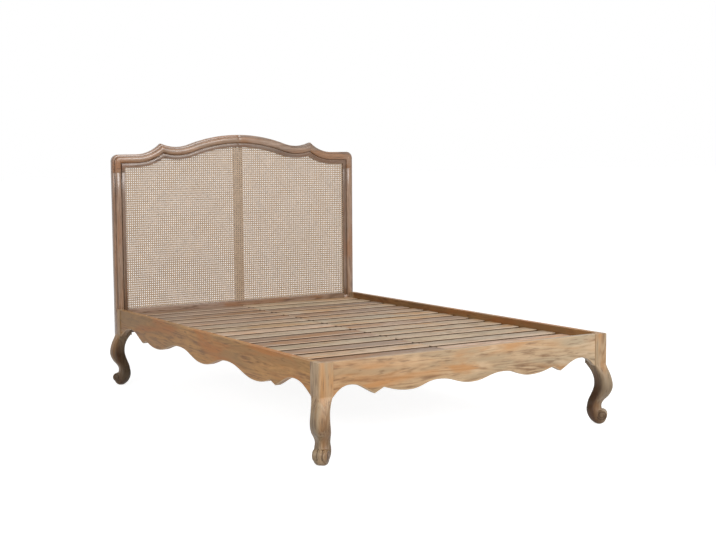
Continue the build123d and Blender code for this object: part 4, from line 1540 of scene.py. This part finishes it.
def fit_fasteners(name, fastener, spots, nodes):
    """Puts a copy of a fastener at each spot, facing its own way, as one piece."""
    mesh = bpy.data.meshes.new(name)
    mesh.from_pydata([spot for spot, facing in spots], [], [])
    facing = mesh.attributes.new("facing", "FLOAT_VECTOR", "POINT")
    for item, (spot, direction) in zip(facing.data, spots):
        item.vector = direction
    holder = link_object(name, mesh)
    run_tree(holder, fastener_tree(name, fastener), {
        "Spin": 2 * math.pi, "Seed": 3, "Material": material_for("steel")})
    bpy.data.objects.remove(fastener)
    finish_piece(holder, "steel", nodes, smooth=35)
    return holder


class CANEBED_OT_hardware(bpy.types.Operator):
    """Fit the corner brackets, their screws, the wood screws and the stile bolts"""

    bl_idname = "cane_bed.hardware"
    bl_label = "Brackets, screws and bolts"

    def execute(self, context):
        bracket_low, bracket_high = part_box("corner_brackets")
        ledge_low, ledge_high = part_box("right_slat_ledge")
        cleat_low, cleat_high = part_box("foot_beam_cleat")
        beam_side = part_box("centre_beam")[1].x
        thickness, rail_leg, block_leg = 3 * MM, 38 * MM, 30 * MM
        middle_z = (bracket_low.z + bracket_high.z) / 2
        work = bmesh.new()
        bracket_spots = []
        for side in (-1, 1):
            for face_y, normal in ((RAIL_FRONT_END, 1), (RAIL_BACK_END, -1)):
                inner = side * RAIL_INNER
                section = [
                    (inner, face_y), (inner - side * block_leg, face_y),
                    (inner - side * block_leg, face_y + normal * thickness),
                    (inner - side * 2 * thickness, face_y + normal * thickness),
                    (inner - side * thickness, face_y + normal * 2 * thickness),
                    (inner - side * thickness, face_y + normal * rail_leg),
                    (inner, face_y + normal * rail_leg),
                ]
                add_prism(work, section, bracket_low.z, bracket_high.z, "Z")
                bracket_spots.append((
                    (inner - side * thickness, face_y + normal * (thickness + rail_leg) / 2, middle_z),
                    (-side, 0, 0)))
                bracket_spots.append((
                    (side * (RAIL_INNER - (thickness + block_leg) / 2), face_y + normal * thickness,
                     middle_z),
                    (0, normal, 0)))
        brackets = link_object("corner_brackets_steel", mesh_from("corner_brackets_steel", work))
        ease(brackets, 0.6 * MM)
        finish_piece(brackets, "steel", ["corner_brackets"])
        screw = fastener_mesh("bracket_screw", 22 * MM, 3 * MM, 6 * MM, 4 * MM)
        fit_fasteners("bracket_screws_steel", screw, bracket_spots, ["bracket_screws"])

        wood_spots = []
        middle = (RAIL_FRONT_END + RAIL_BACK_END) / 2
        reach = 0.85 * (RAIL_BACK_END - RAIL_FRONT_END) / 2
        recess = 5 * MM
        cleat_x = beam_side + 0.3 * MM + 10 * MM
        cleat_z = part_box("centre_beam")[0].z + 40 * MM / 3
        for side in (-1, 1):
            for step in range(4):
                wood_spots.append((
                    (side * (ledge_low.x + recess), middle + reach * (2 * step / 3 - 1),
                     (ledge_low.z + ledge_high.z) / 2), (-side, 0, 0)))
            wood_spots.append(((side * cleat_x, cleat_high.y - recess, cleat_z), (0, 1, 0)))
            head_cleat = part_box("head_beam_cleat")[0]
            wood_spots.append(((side * cleat_x, head_cleat.y + recess, cleat_z), (0, -1, 0)))
        screw = fastener_mesh("wood_screw", 36 * MM, 2.5 * MM, 5 * MM, 4 * MM)
        fit_fasteners("wood_screws_steel", screw, wood_spots, ["wood_screws"])

        bolt_middle = (LEG_HEIGHT + SLAT_SEAT) / 2
        bolt_spots = [
            ((side * LEG_OUT, HEAD_END - 7 * MM, bolt_middle + up * 23 * MM), (0, 1, 0))
            for side in (-1, 1) for up in (-1, 1)
        ]
        bolt = fastener_mesh("stile_bolt", 59 * MM, 4 * MM, 8 * MM, 5 * MM)
        fit_fasteners("stile_bolts_steel", bolt, bolt_spots, ["stile_bolts"])
        return {"FINISHED"}


# Stage

FLOOR_GLOW = 0.86
SKY_STRENGTH = 0.24
FLOOR_REACH = 60

# The camera that took the photograph, its lengths in the photograph's own pixels
PHOTO_WIDTH = 716
PHOTO_FOCAL = 1258.34
PHOTO_SHIFT = 86.7
SENSOR_WIDTH = 36
CAMERA_PLACE = Vector((-3.1736, -5.1129, 1.1993))
CAMERA_YAW, CAMERA_PITCH, CAMERA_ROLL = 0.5027, 0.0917, -0.0129


def area_lamp(name, place, aim, size, power):
    """A soft square lamp that faces a point."""
    lamp = bpy.data.lights.new(name, "AREA")
    lamp.energy = power
    lamp.shape = "RECTANGLE"
    lamp.size, lamp.size_y = size
    obj = link_object(name, lamp)
    obj.location = place
    obj.rotation_euler = (Vector(aim) - Vector(place)).to_track_quat("-Z", "Y").to_euler()
    return obj


def seen_directly(tree):
    """One where the camera or a reflection looks at a surface, and none where it only gives light."""
    path = add_node(tree, "ShaderNodeLightPath")
    mirrored = calc(tree, "MAXIMUM", path.outputs["Is Glossy Ray"], path.outputs["Is Transmission Ray"])
    return calc(tree, "MAXIMUM", path.outputs["Is Camera Ray"], mirrored)


def floor_material(colour):
    """A pale floor that reads as white in the picture and keeps the bed's shadow."""
    material, tree, shader = new_material("studio_floor")
    place = add_node(tree, "ShaderNodeTexCoord").outputs["Object"]
    clouds = noise(tree, place, scale=0.6, detail=2)
    tint = ramp(tree, clouds, [(0.3, colour), (0.7, tuple(min(1, 1.02 * c) for c in colour))])
    tree.links.new(tint, shader.inputs["Base Color"])
    shader.inputs["Roughness"].default_value = 0.9
    shader.inputs["Specular IOR Level"].default_value = 0.1
    glow = add_node(tree, "ShaderNodeEmission", {"Color": (1, 1, 1, 1), "Strength": FLOOR_GLOW})
    total = add_node(tree, "ShaderNodeAddShader", {0: shader.outputs[0], 1: glow.outputs[0]})
    switch = add_node(tree, "ShaderNodeMixShader", {
        0: seen_directly(tree), 1: shader.outputs[0], 2: total.outputs[0]})
    output = next(n for n in tree.nodes if n.type == "OUTPUT_MATERIAL")
    tree.links.new(switch.outputs[0], output.inputs["Surface"])
    return material


def photo_camera():
    """A camera that sees the bed from where the photograph was taken."""
    camera = bpy.data.cameras.new("photo_camera")
    camera.sensor_width = SENSOR_WIDTH
    camera.lens = PHOTO_FOCAL * SENSOR_WIDTH / PHOTO_WIDTH
    camera.shift_x = PHOTO_SHIFT / PHOTO_WIDTH
    camera.clip_end = 200
    level = math.cos(CAMERA_PITCH)
    ahead = Vector((math.sin(CAMERA_YAW) * level, math.cos(CAMERA_YAW) * level, -math.sin(CAMERA_PITCH)))
    right = Vector((math.cos(CAMERA_YAW), -math.sin(CAMERA_YAW), 0))
    up = right.cross(ahead)
    rolled_right = right * math.cos(CAMERA_ROLL) + up * math.sin(CAMERA_ROLL)
    rolled_up = up * math.cos(CAMERA_ROLL) - right * math.sin(CAMERA_ROLL)
    turn = Matrix((rolled_right, rolled_up, -ahead)).transposed().to_4x4()
    view = link_object("photo_camera", camera)
    view.matrix_world = Matrix.Translation(CAMERA_PLACE) @ turn
    return view


class CANEBED_OT_stage(bpy.types.Operator):
    """Set up the floor, the soft studio light and the camera"""

    bl_idname = "cane_bed.stage"
    bl_label = "Stage"

    def execute(self, context):
        scene = context.scene
        work = bmesh.new()
        bmesh.ops.create_grid(work, x_segments=1, y_segments=1, size=FLOOR_REACH)
        mesh = bpy.data.meshes.new("studio_floor")
        work.to_mesh(mesh)
        work.free()
        floor = link_object("studio_floor", mesh)
        floor.data.materials.append(floor_material(tuple(finishes().floor)))

        world = bpy.data.worlds.new("studio")
        world.use_nodes = True
        tree = world.node_tree
        tree.nodes.clear()
        light = add_node(tree, "ShaderNodeBackground", {"Color": (1, 1, 1, 1), "Strength": SKY_STRENGTH})
        white = add_node(tree, "ShaderNodeBackground", {"Color": (1, 1, 1, 1), "Strength": 1.0})
        mix = add_node(tree, "ShaderNodeMixShader", {
            0: seen_directly(tree), 1: light.outputs[0], 2: white.outputs[0]})
        output = tree.nodes.new("ShaderNodeOutputWorld")
        tree.links.new(mix.outputs[0], output.inputs["Surface"])
        scene.world = world

        area_lamp("key_lamp", (2.0, -6.5, 3.2), (0, 0, 0.4), (3.0, 2.0), 285)
        area_lamp("fill_lamp", (-5.5, -3.5, 2.5), (0, -0.5, 0.4), (2.5, 2.5), 125)
        area_lamp("top_lamp", (0.5, -0.5, 5.0), (0, 0, 0.3), (4.0, 4.0), 70)

        scene.camera = photo_camera()
        scene.view_settings.view_transform = "Standard"
        return {"FINISHED"}


class CANEBED_PT_panel(bpy.types.Panel):
    """The bed's sizes, colours and building steps"""

    bl_label = "Cane bed"
    bl_idname = "CANEBED_PT_panel"
    bl_space_type = "VIEW_3D"
    bl_region_type = "UI"
    bl_category = "Bed"

    def draw(self, context):
        layout = self.layout
        for group in (context.scene.cane_bed_sizes, context.scene.cane_bed_finishes):
            box = layout.box()
            for name in group.__annotations__:
                box.prop(group, name)
        for operator in BUILD_STEPS:
            layout.operator(operator.bl_idname)


BUILD_STEPS = (
    CANEBED_OT_stage,
    CANEBED_OT_rails,
    CANEBED_OT_legs,
    CANEBED_OT_headboard,
    CANEBED_OT_beads,
    CANEBED_OT_cane,
    CANEBED_OT_base,
    CANEBED_OT_slats,
    CANEBED_OT_hardware,
)
CLASSES = (CaneBedSizes, CaneBedFinishes, *BUILD_STEPS, CANEBED_PT_panel)


def register():
    for item in CLASSES:
        bpy.utils.register_class(item)
    bpy.types.Scene.cane_bed_sizes = bpy.props.PointerProperty(type=CaneBedSizes)
    bpy.types.Scene.cane_bed_finishes = bpy.props.PointerProperty(type=CaneBedFinishes)


def unregister():
    del bpy.types.Scene.cane_bed_finishes
    del bpy.types.Scene.cane_bed_sizes
    for item in reversed(CLASSES):
        bpy.utils.unregister_class(item)


def main():
    register()
    bpy.ops.cane_bed.stage()
    bpy.ops.cane_bed.rails()
    bpy.ops.cane_bed.legs()
    bpy.ops.cane_bed.headboard()
    bpy.ops.cane_bed.beads()
    bpy.ops.cane_bed.cane()
    bpy.ops.cane_bed.base()
    bpy.ops.cane_bed.slats()
    bpy.ops.cane_bed.hardware()


if __name__ == "__main__":
    main()
